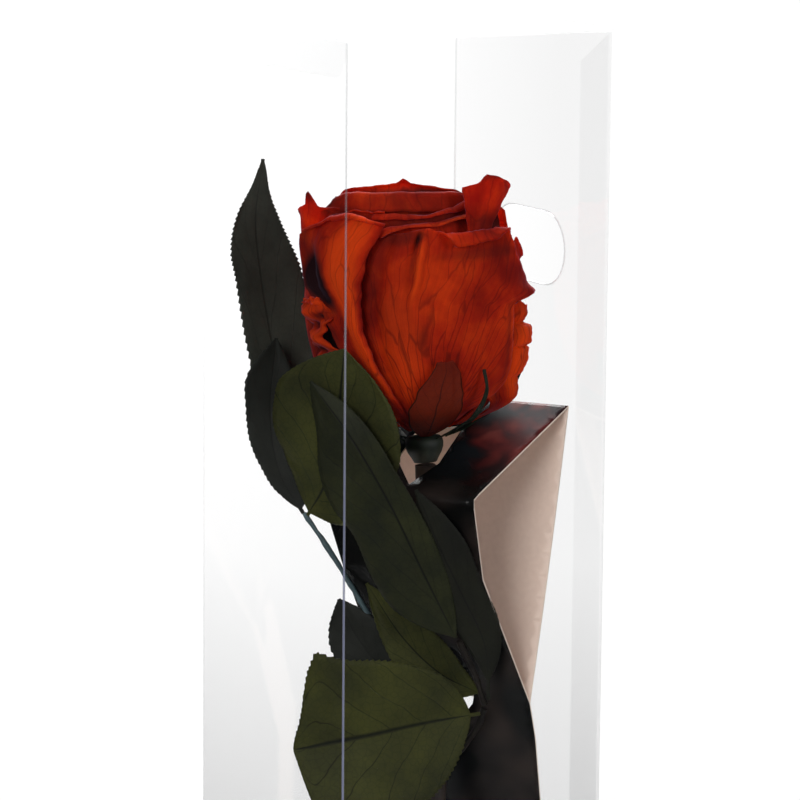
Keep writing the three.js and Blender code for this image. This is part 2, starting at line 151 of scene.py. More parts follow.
def makeFloor():
    # a pale paper disc that fades out, so that every view keeps the same white ground
    mesh = bpy.data.meshes.new("floor")
    turns = [2 * math.pi * i / 64 for i in range(64)]
    radius, depth = floorDisc["radius"], floorDisc["depth"]
    corners = [(radius * math.cos(a), radius * math.sin(a), depth) for a in turns]
    mesh.from_pydata(corners, [], [list(range(64))])
    floor = bpy.data.objects.new("floor", mesh)
    scene.collection.objects.link(floor)
    material, add = newMaterial("pale matt paper")
    place = add("ShaderNodeTexCoord")
    flat = add("ShaderNodeVectorMath", {0: (place, "Object")}, operation="LENGTH")
    fade = add("ShaderNodeMapRange", {"Value": (flat, "Value"), "From Min": floorDisc["fadeFrom"],
                                      "From Max": floorDisc["fadeTo"], "To Min": 1, "To Max": 0},
               interpolation_type="SMOOTHSTEP")
    paper = add("ShaderNodeBsdfPrincipled", {"Base Color": linear(floorDisc["colour"]), "Roughness": 0.9,
                                             "Specular IOR Level": 0.1})
    clear = add("ShaderNodeBsdfTransparent")
    mix = add("ShaderNodeMixShader", {0: fade, 1: clear, 2: paper})
    add("ShaderNodeOutputMaterial", {"Surface": mix})
    mesh.materials.append(material)


makeCamera()
makeLights()
makeFloor()
scene.view_settings.view_transform = "Standard"
scene.cycles.transparent_max_bounces = 24
print("stage: camera, lights and floor")


# ---- shared shapes
def makeMesh(name, points, faces, uv=None, marks=None, facing=None):
    # a mesh with its surface coordinates and marks; facing scores a face that looks the right way above zero
    mesh = bpy.data.meshes.new(name)
    mesh.from_pydata([tuple(p) for p in points], [], faces)
    if facing:
        bm = bmesh.new()
        bm.from_mesh(mesh)
        bmesh.ops.recalc_face_normals(bm, faces=bm.faces)
        if sum(facing(face) * face.calc_area() for face in bm.faces) < 0:
            bmesh.ops.reverse_faces(bm, faces=bm.faces)
        bm.to_mesh(mesh)
        bm.free()
    if uv:
        layer = mesh.uv_layers.new(name="surface")
        for loop in mesh.loops:
            layer.data[loop.index].uv = uv[loop.vertex_index]
    for mark, values in (marks or {}).items():
        mesh.attributes.new(mark, "FLOAT", "POINT").data.foreach_set("value", values)
    return mesh


def finishPiece(name, mesh, materials, replaces, body="case", matrix=displayToFrame, smooth=True):
    mesh.transform(matrix)
    if smooth:
        mesh.shade_smooth()
    mesh.materials.clear()
    for material in materials:
        mesh.materials.append(material)
    piece = bpy.data.objects.new(name, mesh)
    scene.collection.objects.link(piece)
    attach(piece, body)
    if replaces:
        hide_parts(replaces)
    return piece


def gridFaces(rows, columns):
    return [(i * columns + j, i * columns + j + 1, (i + 1) * columns + j + 1, (i + 1) * columns + j)
            for i in range(rows - 1) for j in range(columns - 1)]


def thicken(piece, thickness, offset=0.0, rimMaterial=0, backMaterial=0):
    solidify = piece.modifiers.new("thickness", "SOLIDIFY")
    solidify.thickness = thickness * mm
    solidify.offset = offset
    solidify.use_even_offset = False
    solidify.material_offset = backMaterial
    solidify.material_offset_rim = rimMaterial


def curvePoint(points, u):
    # a smooth curve through the points, evenly stepped from one to the next
    last = len(points) - 1
    place = min(max(u, 0), 1) * last
    i = min(int(place), last - 1)
    t = place - i
    b, c = points[i], points[i + 1]
    a = points[i - 1] if i else 2 * b - c
    d = points[i + 2] if i + 2 <= last else 2 * c - b
    ab, bc, cd = [max((q - p).length, 1e-4) ** 0.5 for p, q in ((a, b), (b, c), (c, d))]
    m = bc * ((b - a) / ab - (c - a) / (ab + bc) + (c - b) / bc)
    n = bc * ((c - b) / bc - (d - b) / (bc + cd) + (d - c) / cd)
    return b + m * t + (3 * (c - b) - 2 * m - n) * t ** 2 + (2 * (b - c) + m + n) * t ** 3


def curveTangent(points, u):
    return (curvePoint(points, min(u + 0.005, 1)) - curvePoint(points, max(u - 0.005, 0))).normalized()


def readTable(table, x):
    return float(np.interp(x, [p[0] for p in table], [p[1] for p in table]))


# ---- materials
filmLook = {
    "index": 1.53,  # PET
    # painted shade: the film reflects more towards the foot, so the walls read darker low down
    "shadeByHeight": {"From Min": 0.09, "From Max": 0.175, "To Min": 1.2, "To Max": 0.4},  # by height in metres
    "crazeAndShade": 0.78, "clear": "f4f6fa", "crazedAndShaded": "80849c", "roughness": 0.05,
}


def makeFilm():
    # clear PET film: mirror-like only at a slant, more so towards the foot as painted shade that darkens the
    # walls there, and blue-grey where a fold is creased, as crazing and as painted shade of the fold seen
    # edge-on
    material, add = newMaterial("clear PET film, creased")
    look = filmLook
    crease = add("ShaderNodeAttribute", attribute_name="crease")
    geometry = add("ShaderNodeNewGeometry")
    index = add("ShaderNodeMapRange", {"Value": (geometry, "Backfacing"), "To Min": look["index"],
                                       "To Max": 1 / look["index"]})
    mirror = add("ShaderNodeFresnel", {"IOR": index})
    place = add("ShaderNodeTexCoord")
    parts = add("ShaderNodeSeparateXYZ", {0: (place, "Object")})
    shadeByHeight = add("ShaderNodeMapRange", {"Value": (parts, "Z"), **look["shadeByHeight"]})
    gloss = add("ShaderNodeMath", {0: mirror, 1: shadeByHeight}, operation="MULTIPLY")
    # blue-grey at folds and cut edges: crazing, and painted shade of the film seen edge-on
    crazedAndShaded = add("ShaderNodeMath", {0: (crease, "Fac"), 1: look["crazeAndShade"], 2: gloss},
                 operation="MULTIPLY_ADD", use_clamp=True)
    smooth = add("ShaderNodeMath", {0: 1.0, 1: (crease, "Fac")}, operation="SUBTRACT", use_clamp=True)
    tint = add("ShaderNodeMix", {0: (crease, "Fac"), 6: linear(look["clear"]), 7: linear(look["crazedAndShaded"])},
               data_type="RGBA")
    shader = add("ShaderNodeBsdfPrincipled", {"Base Color": (tint, 2), "Metallic": smooth,
                                              "Roughness": look["roughness"], "Alpha": crazedAndShaded})
    add("ShaderNodeOutputMaterial", {"Surface": shader})
    return material


def finishThin(add, colour, through, share, roughness, height, strength, gloss, sheen=0.0):
    # a thin dry skin: the light that it reflects, mixed with the share that comes through it
    bump = add("ShaderNodeBump", {"Strength": strength, "Distance": 0.0002, "Height": height})
    skin = add("ShaderNodeBsdfPrincipled", {
        "Base Color": colour, "Roughness": roughness, "Specular IOR Level": gloss, "Sheen Weight": sheen,
        "Sheen Roughness": 0.3, "Sheen Tint": linear("c9b4dc"), "Normal": bump})
    glow = add("ShaderNodeBsdfTranslucent", {"Color": through, "Normal": bump})
    mix = add("ShaderNodeMixShader", {0: share, 1: skin, 2: glow})
    add("ShaderNodeOutputMaterial", {"Surface": mix})


petalLook = {
    # the bright colour of each layer is a painted glow of light coming through, and the bruise colour is
    # painted shade with some bruising
    "front": {"tones": [(0.34, "8c1604"), (0.5, "ba2706"), (0.66, "dc4009")],
              "paintedGlow": "f85410", "vein": "4c0a05", "shadeAndBruise": "2a0c10"},
    "lit": {"tones": [(0.36, "e83c06"), (0.66, "ff7412")],
            "paintedGlow": "ff7c1c", "vein": "7c1205", "shadeAndBruise": "30080c"},
    "apex": 14.0,  # the veins fan out from this far under the petal's root, in millimetres
    "veins": (15, 0.05, 1), "streaks": (70, 0.09, 1),  # how many to a radian, and how drawn out they are
    "through": 0.45, "roughness": 0.78,
}


def petalSkin():
    # preserved rose petal: a dry velvet skin that glows orange where light comes through, with fine dark
    # veins fanning out from the root; one mark holds painted shade in hollows and under rims, with some
    # bruising, up to 1, and a painted glow of light coming through, down to -1, and "grown" sets each petal's
    # veins apart from the next one's
    material, add = newMaterial("preserved rose petal")
    look = petalLook
    uv = add("ShaderNodeUVMap", uv_map="surface")
    place = add("ShaderNodeTexCoord")
    stain, grown = [add("ShaderNodeAttribute", attribute_name=mark) for mark in ("stain", "grown")]
    # painted shade with some bruising where the mark is positive, painted glow where it is negative
    shadeAndBruise, paintedGlow = [add("ShaderNodeMapRange", {"Value": (stain, "Fac"), "From Min": 0.0, "From Max": end})
                      for end in (1.0, -1.0)]
    patch = add("ShaderNodeTexNoise", {"Vector": (place, "Object"), "Scale": 60, "Detail": 5,
                                       "Roughness": 0.6})
    parts = add("ShaderNodeSeparateXYZ", {0: uv})
    reach = add("ShaderNodeMath", {0: (parts, "Y"), 1: look["apex"]}, operation="ADD")
    fan = add("ShaderNodeMath", {0: (parts, "X"), 1: reach}, operation="DIVIDE")
    spread = add("ShaderNodeCombineXYZ", {"X": fan, "Y": (parts, "Y"), "Z": (grown, "Fac")})
    sway = add("ShaderNodeTexNoise", {"Vector": (place, "Object"), "Scale": 110, "Detail": 2})
    thin = add("ShaderNodeMapping", {"Vector": spread, "Scale": look["veins"]})
    warped = add("ShaderNodeVectorMath", {0: (sway, "Color"), 1: (1.1, 0.5, 0), 2: thin},
                 operation="MULTIPLY_ADD")
    veins = add("ShaderNodeTexVoronoi", {"Vector": warped, "Scale": 1.0}, feature="DISTANCE_TO_EDGE")
    fade = add("ShaderNodeMapRange", {"Value": (parts, "Y"), "From Min": 14, "From Max": 50, "To Min": 0.42,
                                      "To Max": 0.72})
    depth = add("ShaderNodeMapRange", {"Value": (veins, "Distance"), "From Min": 0.004, "From Max": 0.045,
                                       "To Min": fade, "To Max": 1.0})
    streaks = add("ShaderNodeMapping", {"Vector": spread, "Scale": look["streaks"]})
    grain = add("ShaderNodeTexNoise", {"Vector": streaks, "Scale": 1.0, "Detail": 4, "Roughness": 0.65})
    faint = add("ShaderNodeMapRange", {"Value": (grain, "Fac"), "From Min": 0.36, "From Max": 0.6,
                                       "To Min": 0.86, "To Max": 1.0})
    both = add("ShaderNodeMath", {0: faint, 1: depth}, operation="MULTIPLY")
    layers = []
    for colours in (look["front"], look["lit"]):
        tone = add("ShaderNodeValToRGB", {0: (patch, "Fac")}, colours["tones"])
        pale, vein, dark = [linear(colours[k]) for k in ("paintedGlow", "vein", "shadeAndBruise")]
        withGlow = add("ShaderNodeMix", {0: paintedGlow, 6: tone, 7: pale}, data_type="RGBA")
        veined = add("ShaderNodeMix", {0: both, 6: vein, 7: (withGlow, 2)}, data_type="RGBA")
        withShadeAndBruise = add("ShaderNodeMix", {0: shadeAndBruise, 6: (veined, 2), 7: dark}, data_type="RGBA")
        layers.append((withShadeAndBruise, 2))
    finishThin(add, *layers, look["through"], look["roughness"], both, 0.4, 0.15, 0.2)
    return material


def leafSkin(name, low, high, veinColour, lit, share, pairs, edgeColour=None):
    # dried rose leaf: smooth and dull, with thin dark side veins and a faint net between them
    material, add = newMaterial(name)
    uv = add("ShaderNodeUVMap", uv_map="surface")
    place = add("ShaderNodeTexCoord")
    patch = add("ShaderNodeTexNoise", {"Vector": (place, "Object"), "Scale": 70, "Detail": 6,
                                       "Roughness": 0.62})
    tone = add("ShaderNodeValToRGB", {0: (patch, "Fac")}, [(0.35, low), (0.68, high)])
    parts = add("ShaderNodeSeparateXYZ", {0: uv})
    across = add("ShaderNodeMath", {0: (parts, "X")}, operation="ABSOLUTE")
    sway = add("ShaderNodeTexNoise", {"Vector": uv, "Scale": 2.3, "Detail": 2})
    shift = add("ShaderNodeMath", {0: (sway, "Fac"), 1: 0.7}, operation="MULTIPLY")
    lean = add("ShaderNodeMath", {0: across, 1: -0.42 * pairs, 2: shift}, operation="MULTIPLY_ADD")
    rank = add("ShaderNodeMath", {0: (parts, "Y"), 1: pairs, 2: lean}, operation="MULTIPLY_ADD")
    step = add("ShaderNodeMath", {0: rank, 1: 0.5}, operation="PINGPONG")
    side = add("ShaderNodeMapRange", {"Value": step, "From Min": 0.004, "From Max": 0.028, "To Min": 0.35})
    middle = add("ShaderNodeMapRange", {"Value": across, "From Min": 0.008, "From Max": 0.04})
    net = add("ShaderNodeTexVoronoi", {"Vector": (place, "Object"), "Scale": 520}, feature="DISTANCE_TO_EDGE")
    mesh = add("ShaderNodeMapRange", {"Value": (net, "Distance"), "From Max": 0.09, "To Min": 0.8})
    main = add("ShaderNodeMath", {0: side, 1: middle}, operation="MINIMUM")
    line = add("ShaderNodeMath", {0: main, 1: mesh}, operation="MULTIPLY")
    layers = []
    for fresh in (tone, linear(lit)):
        layer = add("ShaderNodeMix", {0: line, 6: linear(veinColour), 7: fresh}, data_type="RGBA")
        if edgeColour:
            rim = add("ShaderNodeMapRange", {"Value": across, "From Min": 0.92, "From Max": 0.99})
            layer = add("ShaderNodeMix", {0: rim, 6: (layer, 2), 7: linear(edgeColour)}, data_type="RGBA")
        layers.append((layer, 2))
    finishThin(add, *layers, share, 0.6, main, 0.35, 0.18)
    return material


def plainSkin(name, low, high, roughness, scale, stretch=(1, 1, 1), bump=0.3, gloss=0.4):
    # a mottled opaque surface; scale is in patches to the metre
    material, add = newMaterial(name)
    place = add("ShaderNodeTexCoord")
    turned = add("ShaderNodeMapping", {"Vector": (place, "Object"), "Scale": stretch})
    patch = add("ShaderNodeTexNoise", {"Vector": turned, "Scale": scale, "Detail": 6})
    tone = add("ShaderNodeValToRGB", {0: (patch, "Fac")}, [(0.35, low), (0.7, high)])
    relief = add("ShaderNodeBump", {"Strength": bump, "Distance": 0.0002, "Height": (patch, "Fac")})
    shader = add("ShaderNodeBsdfPrincipled", {"Base Color": tone, "Roughness": roughness,
                                              "Specular IOR Level": gloss, "Normal": relief})
    add("ShaderNodeOutputMaterial", {"Surface": shader})
    return material


printLook = {
    "facet": [(0.42, "15181b"), (0.54, "2b1113"), (0.68, "561c1b"), (0.84, "742f2a")],
    "panel": [(0.42, "0d0d0c"), (0.62, "2b2421")],
    "cloud": 0.05, "bend": 0.12, "blots": 0.13,  # pattern scales, to the millimetre
    "roughness": 0.27, "gloss": 0.08,
}


def printSkin():
    # glossy laminated print: near black, with soft dark red blots on the right of the top facet
    material, add = newMaterial("laminated black and dark red print")
    look = printLook
    uv = add("ShaderNodeUVMap", uv_map="surface")
    parts = add("ShaderNodeSeparateXYZ", {0: uv})
    cloud = add("ShaderNodeTexNoise", {"Vector": uv, "Scale": look["cloud"], "Detail": 2, "Roughness": 0.4})
    fromRight = add("ShaderNodeMapRange", {"Value": (parts, "X"), "From Min": 14, "From Max": 34,
                                           "To Min": 0.26, "To Max": -0.3})
    down = add("ShaderNodeMapRange", {"Value": (parts, "Y"), "From Min": 22, "From Max": 40})
    bend = add("ShaderNodeTexNoise", {"Vector": uv, "Scale": look["bend"], "Detail": 2})
    bent = add("ShaderNodeVectorMath", {0: (bend, "Color"), 1: (14, 14, 0), 2: uv}, operation="MULTIPLY_ADD")
    blots = add("ShaderNodeTexVoronoi", {"Vector": bent, "Scale": look["blots"]})
    petals = add("ShaderNodeMapRange", {"Value": (blots, "Distance"), "From Min": 0.1, "From Max": 0.8,
                                        "To Min": 0.1, "To Max": -0.2})
    warm = add("ShaderNodeMath", {0: (cloud, "Fac"), 1: fromRight}, operation="ADD")
    glowing = add("ShaderNodeMath", {0: warm, 1: petals}, operation="ADD")
    facet = add("ShaderNodeValToRGB", {0: glowing}, look["facet"])
    panel = add("ShaderNodeValToRGB", {0: (cloud, "Fac")}, look["panel"])
    tone = add("ShaderNodeMix", {0: down, 6: facet, 7: panel}, data_type="RGBA")
    shader = add("ShaderNodeBsdfPrincipled", {"Base Color": (tone, 2), "Roughness": look["roughness"],
                                              "Specular IOR Level": look["gloss"]})
    add("ShaderNodeOutputMaterial", {"Surface": shader})
    return material


film = makeFilm()
petalMaterial = petalSkin()
# only the olive skin is the leaves' own colour; the four after it are copies painted darker and less
# translucent, as painted shade for the leaves that lie in shade
leafOlive = leafSkin("dried leaf, olive side", "303219", "494b22", "1b1d0c", "74742a", 0.3, 5)
leafDeep = leafSkin("dried leaf, shaded olive", "181b0e", "2a2d15", "080905", "383a10", 0.15, 6)
leafShade = leafSkin("dried leaf, olive painted near black as deep shade", "12130d", "1b1c11", "080906", "24260c", 0.1, 5)
leafDarkShade = leafSkin("dried leaf, painted dark as shade", "2e302a", "3c3e36", "262822", "3a3c22", 0.12, 5)
leafGreyShade = leafSkin("dried leaf, grey, painted darker as shade", "1b1d18", "252722", "1b1c18", "2a2c1a", 0.12, 5)
bark = plainSkin("dark red-brown rose bark", "1f1712", "33271d", 0.6, 300, (1, 1, 0.3))
stalkDark = plainSkin("dark brown leaf stalk", "13100c", "1f1913", 0.65, 300, (1, 1, 0.3), 0.3, 0.15)
stalkSkin = plainSkin("blue-green leaf stalk", "37454a", "4f6266", 0.5, 300, (1, 1, 0.3))
hipSkin = plainSkin("dark green hip", "0f150f", "1c2618", 0.6, 400)
sepalBrown = leafSkin("dried sepal, red-brown", "6c1b0b", "86280d", "4c1406", "b83a0b", 0.45, 5, "38200e")
sepalGreen = leafSkin("dried sepal, dark green", "141c12", "1d2a1c", "0c120c", "24301a", 0.15, 5)
printInk = printSkin()
cardCore = plainSkin("plain beige card", "e4cdbe", "e9d3c4", 0.9, 700, (1, 1, 1), 0.1, 0.2)
cardEdge = plainSkin("cut card edge", "e0cfc0", "eee0d2", 0.9, 900, (1, 1, 1), 0.1, 0.2)
print("stage: materials")


# ---- film case
case = {
    "side": 80,
    "height": 320,
    "wallTop": 319.2,
    "film": 0.35,
    "fold": 0.35,  # radius of the vertical folds
    "creases": (0.15, 0.5, 0.15, 1),  # how strongly each fold is painted blue-grey, as crazing and as painted shade of the fold seen edge-on; the two it was shipped flat on are the most
    "wear": [(0, 1), (205, 1), (250, 0.6), (290, 0.3), (320, 0.25)],  # by height
    "cells": (12, 30),  # across each wall and up it
    "slot": {"length": 37, "height": 20, "belowTop": 62, "cut": 0.5, "dull": 0.3,
             "window": (3, 23, 28)},  # the cells round it: from this column, between these rows
    "tab": {"width": 13, "bevel": 8, "gap": 0.06},
    "tuck": {"depth": 11, "inset": 2, "corner": 9, "fold": 0.8, "lean": 5.5, "dull": 0.08},
    "lid": {"half": 40, "clear": 0.7},  # the flap stands clear of the wall by this much
    "base": {"half": 39.2, "clear": 0.5},
}


def closed(loop):
    return zip(loop, loop[1:] + loop[:1])


def flatPiece(outline, holes, step, folds=()):
    # triangles that fill a flat outline, with a grid of points fine enough to bend and rows along its folds
    points, edges = [], []

    def addLine(start, end, last=0):
        count = max(1, round(math.hypot(end[0] - start[0], end[1] - start[1]) / step))
        points.extend((start[0] + (end[0] - start[0]) * i / count, start[1] + (end[1] - start[1]) * i / count)
                      for i in range(count + last))

    for loop in [outline] + holes:
        first = len(points)
        for start, end in closed(loop):
            addLine(start, end)
        edges += [(i, i + 1) for i in range(first, len(points) - 1)] + [(len(points) - 1, first)]
    for start, end in folds:
        first = len(points)
        addLine(start, end, 1)
        edges += [(i, i + 1) for i in range(first, len(points) - 1)]
    border = np.array(points)
    (left, low), (right, high) = [[pick(p[k] for p in outline) for k in (0, 1)] for pick in (min, max)]
    x, row = left + step / 2, 0
    while x < right:
        y = low + step * (0.25 if row % 2 else 0.75)
        while y < high:
            if np.min(np.hypot(border[:, 0] - x, border[:, 1] - y)) > step * 0.45:
                points.append((x, y))
            y += step
        x += step
        row += 1
    flat, _, faces, _, _, _ = delaunay_2d_cdt([Vector(p) for p in points], edges, [], 2, 1e-5)

    def inside(p, loop):
        hit = False
        for (x1, y1), (x2, y2) in closed(loop):
            if (y1 > p.y) != (y2 > p.y) and p.x < (x2 - x1) * (p.y - y1) / (y2 - y1) + x1:
                hit = not hit
        return hit

    kept = []
    for face in faces:
        middle = sum((flat[i] for i in face), Vector((0, 0))) / len(face)
        if inside(middle, outline) and not any(inside(middle, hole) for hole in holes):
            kept.append(face)
    order = {old: new for new, old in enumerate(sorted({i for face in kept for i in face}))}
    return [tuple(flat[i]) for i in order], [tuple(order[i] for i in face) for face in kept]


def stadium(middle, length, height, steps=14):
    radius = height / 2
    loop = []
    for side in (1, -1):
        for k in range(steps + 1):
            a = math.pi * k / steps - side * math.pi / 2
            loop.append((side * (length / 2 - radius) + radius * math.cos(a), middle + radius * math.sin(a)))
    return loop


def wallLoop(t):
    # place on the sleeve's outside, t mm round from the middle of the wall that looks to -Y, towards +X,
    # and how much the film is creased there
    half, fold = case["side"] / 2, case["fold"]
    straight = case["side"] - 2 * fold
    lap = straight + math.pi / 2 * fold
    turns = math.floor((t + straight / 2) / lap)
    along = (t + straight / 2) - turns * lap
    if along <= straight + 1e-6:
        x, y = along - straight / 2, -half
        crease = 1 if min(along, straight - along) < 1e-6 else 0
    else:
        a = (along - straight) / fold - math.pi / 2
        x, y = straight / 2 + fold * math.cos(a), -half + fold + fold * math.sin(a)
        crease = 1
    corner = turns if along > straight / 2 else turns - 1
    return Matrix.Rotation(math.pi / 2 * turns, 2) @ Vector((x, y)), crease * case["creases"][corner % 4]


def finishFilm(name, mesh, replaces, body="case", place=Matrix.Identity(4)):
    piece = finishPiece(name, mesh, [film], replaces, body, Matrix.Scale(mm, 4) @ place, False)
    thicken(piece, case["film"], -1)


def makeSleeve():
    # four walls bent from one sheet; the finger slot is cut in the wall that looks to +X
    top, slot = case["wallTop"], case["slot"]
    straight = case["side"] - 2 * case["fold"]
    lap = straight + math.pi / 2 * case["fold"]
    across, up = case["cells"]
    columns = []
    for wall in range(4):
        start = wall * lap - straight / 2
        columns += [start, start + 0.2] + [start + straight * k / across for k in range(1, across)]
        columns += [start + straight - 0.2] + [start + straight + (lap - straight) * k / 5 for k in range(5)]
    rows = [0, 1] + [top * k / up for k in range(1, up)] + [top - 1, top]
    count = len(columns)
    inset, low, high = slot["window"]
    left, right = count // 4 + inset, count // 4 + across - 1
    points, crease = [], []
    for z in rows:
        for t in columns:
            p, value = wallLoop(t)
            points.append((p.x, p.y, z))
            crease.append(value * readTable(case["wear"], z))
    cells = [(i * count, j, (j + 1) % count) for i in range(len(rows) - 1) for j in range(count)
             if not (low <= i < high and left <= j < right)]
    faces = [(i + j, i + k, i + count + k, i + count + j) for i, j, k in cells]
    ys, zs = [t - lap for t in columns[left:right + 1]], rows[low:high + 1]
    outline = [(y, zs[0]) for y in ys[:-1]] + [(ys[-1], z) for z in zs[:-1]]
    outline += [(y, zs[-1]) for y in ys[:0:-1]] + [(ys[0], z) for z in zs[:0:-1]]
    middle = case["height"] - slot["belowTop"]
    length, height, cut = slot["length"], slot["height"], slot["cut"]
    ring = stadium(middle, length + 2 * cut, height + 2 * cut)
    flat, filled = flatPiece(outline, [stadium(middle, length, height)], 20, closed(ring))
    first = len(points)
    for y, z in flat:
        away = math.hypot(max(abs(y) - (length - height) / 2, 0), z - middle) - height / 2
        points.append((case["side"] / 2, y, z))
        crease.append(slot["dull"] * max(0, 1 - away / cut))
    for face in filled:
        a, b, c = [Vector(flat[k]) for k in face[:3]]
        faces.append(tuple(first + k for k in (face[::-1] if (b - a).cross(c - a) < 0 else face)))
    mesh = makeMesh("case_sleeve_film", points, faces, marks={"crease": crease})
    bm = bmesh.new()
    bm.from_mesh(mesh)
    bmesh.ops.remove_doubles(bm, verts=bm.verts, dist=0.01)
    bm.to_mesh(mesh)
    bm.free()
    finishFilm("case_sleeve_film", mesh, "case_sleeve")


def makeTab():
    # the glued seam tab lies inside the wall that looks to +X
    tab = case["tab"]
    inner = case["side"] / 2 - case["film"] - tab["gap"]
    near, low, high = 1 - case["side"] / 2, 1, case["wallTop"] - 1
    far, bevel = near + tab["width"], tab["bevel"]
    flat, faces = flatPiece([(near, low), (far, low + bevel), (far, high - bevel), (near, high)], [], 9)
    points, crease = [(inner, y, z) for y, z in flat], [0] * len(flat)
    finishFilm("case_seam_tab", makeMesh("case_seam_tab", points, faces, marks={"crease": crease}), None)


def makeClosure(name, node, body, half, clear, flip):
    # closing panel and tuck flap, bent from one flat piece; the flap hangs along the wall that looks to -X
    tuck = case["tuck"]
    side, fold, corner = case["side"] / 2 - tuck["inset"], tuck["fold"], tuck["corner"]
    span = 2 * half - fold
    bend = fold * math.radians(90 + tuck["lean"])
    end = span + bend + tuck["depth"] - fold
    quarter = [math.radians(15 * k) for k in range(7)]
    outline = [(0, -half), (span - 0.5, -half), (span, -side)]
    outline += [(end - corner + corner * math.sin(a), -side + corner - corner * math.cos(a)) for a in quarter]
    outline += [(end - corner + corner * math.cos(a), side - corner + corner * math.sin(a)) for a in quarter]
    outline += [(span, side), (span - 0.5, half), (0, half)]
    rows = [(0.4, half), (span - 0.4, half)]
    rows += [(span + shift, side) for shift in (0, bend / 3, bend * 2 / 3, bend, bend + 0.4)]
    flat, faces = flatPiece(outline, [], 5, [((t, 0.3 - wide), (t, wide - 0.3)) for t, wide in rows])
    points, crease = [], []
    for t, s in flat:
        a = min(max(t - span, 0), bend) / fold
        rest = max(t - span - bend, 0)
        x = half - min(t, span) - fold * math.sin(a) - rest * math.cos(a)
        z = fold * (1 - math.cos(a)) + rest * math.sin(a)
        points.append((x + clear * min(t / span, 1), s, z if flip else -z))
        crease.append(tuck["dull"] if t < 0.2 or span - 0.2 < t < span + bend + 0.2 else 0)
    up = -1 if flip else 1
    faces = [face[::up] for face in faces]
    mesh = makeMesh(name, points, faces, marks={"crease": crease}, facing=lambda face: face.normal.z * up)
    finishFilm(name, mesh, node, body, Matrix.Translation((0, 0, 0 if flip else case["height"])))


makeSleeve()
makeTab()
makeClosure("case_lid_film", "case_lid", "lid", **case["lid"], flip=False)
makeClosure("case_base_film", "case_base", "case", **case["base"], flip=True)
print("stage: film case")


# ---- card insert
card = {
    "turn": 25,
    "top": Vector((45.3, -0.4, 216.4)),
    "thickness": 0.5,
    "front": (41, -19.5),  # the corners of the folded strip, as (distance out from the top fold, height)
    "knee": (38.4, -41.3),
    "waist": (21.5, -78),
    "lower": (14, -112),
    "foot": (16, -215.1),
    "footDepth": 9,
    "bend": 1.6,
    "bow": 0.5, "bowFrom": 20,  # of the panel under the knee, in full this far from its right edge
    "sag": 0.8,  # of the back panel
    "inside": (20, 20, -45),  # a place in the middle of the folded sleeve
    "stemHole": [(25.5, 12), (38, 15), (38, 28), (30, 37.5), (25.6, 28)],
    "waistHole": [(17, -76), (18.5, -70), (22, -64.5), (33, -63), (38, -75), (33, -87), (22, -85), (18, -80)],
    "rightCut": [(2, 0), (-19.5, 9.7), (-41.3, 7.8), (-78, 1), (-88, 0.2), (-107, 0.2), (-217, 3)],
    "leftCut": [(2, 63), (-19.5, 55), (-41.3, 49), (-78, 43), (-112, 39), (-217, 39)],
    "backRight": [(0, 0), (-78, 1)],
    "backLeft": [(0, 63), (-12, 62), (-44, 50), (-78, 43)],
}


def cardPlace(s, n, z):
    turn, back = math.radians(card["turn"]), math.radians(180 - card["turn"])
    across = Vector((math.cos(back), math.sin(back), 0))
    toViewer = Vector((-math.sin(turn), -math.cos(turn), 0))
    return card["top"] + across * s + toViewer * n + Vector((0, 0, z))


def cardSection():
    # the front strip as (distance along it, n, z): top facet, round fold, front panels, foot
    frontN, frontZ = card["front"]
    bend = card["bend"]
    a = Vector((frontN - bend, frontZ * (frontN - bend) / frontN))
    b = Vector((frontN + 0.6, frontZ - 0.3))
    c = Vector((frontN, frontZ - bend))
    path = [Vector((0, 0))]
    path += [a * (1 - t) ** 2 + 2 * b * t * (1 - t) + c * t ** 2 for t in [k / 8 for k in range(9)]]
    path += [Vector(card[k]) for k in ("knee", "waist", "lower", "foot")]
    path += [Vector((card["foot"][0] + card["footDepth"], card["foot"][1]))]
    distance, table = 0, []
    for i, p in enumerate(path):
        distance += (p - path[i - 1]).length if i else 0
        table.append((distance, p.x, p.y))
    return table


def finishCard(name, points, faces, uv, replaces):
    # faces look out of the sleeve: print outside, bare card inside, pale cut edges
    def outwards(face):
        middle = face.calc_center_median()
        return (middle - cardPlace(*card["inside"])).dot(face.normal) if middle.z > 140 else 0

    mesh = makeMesh(name, points, faces, uv, facing=outwards)
    piece = finishPiece(name, mesh, [printInk, cardCore, cardEdge], replaces)
    thicken(piece, card["thickness"], 0, 2, 1)


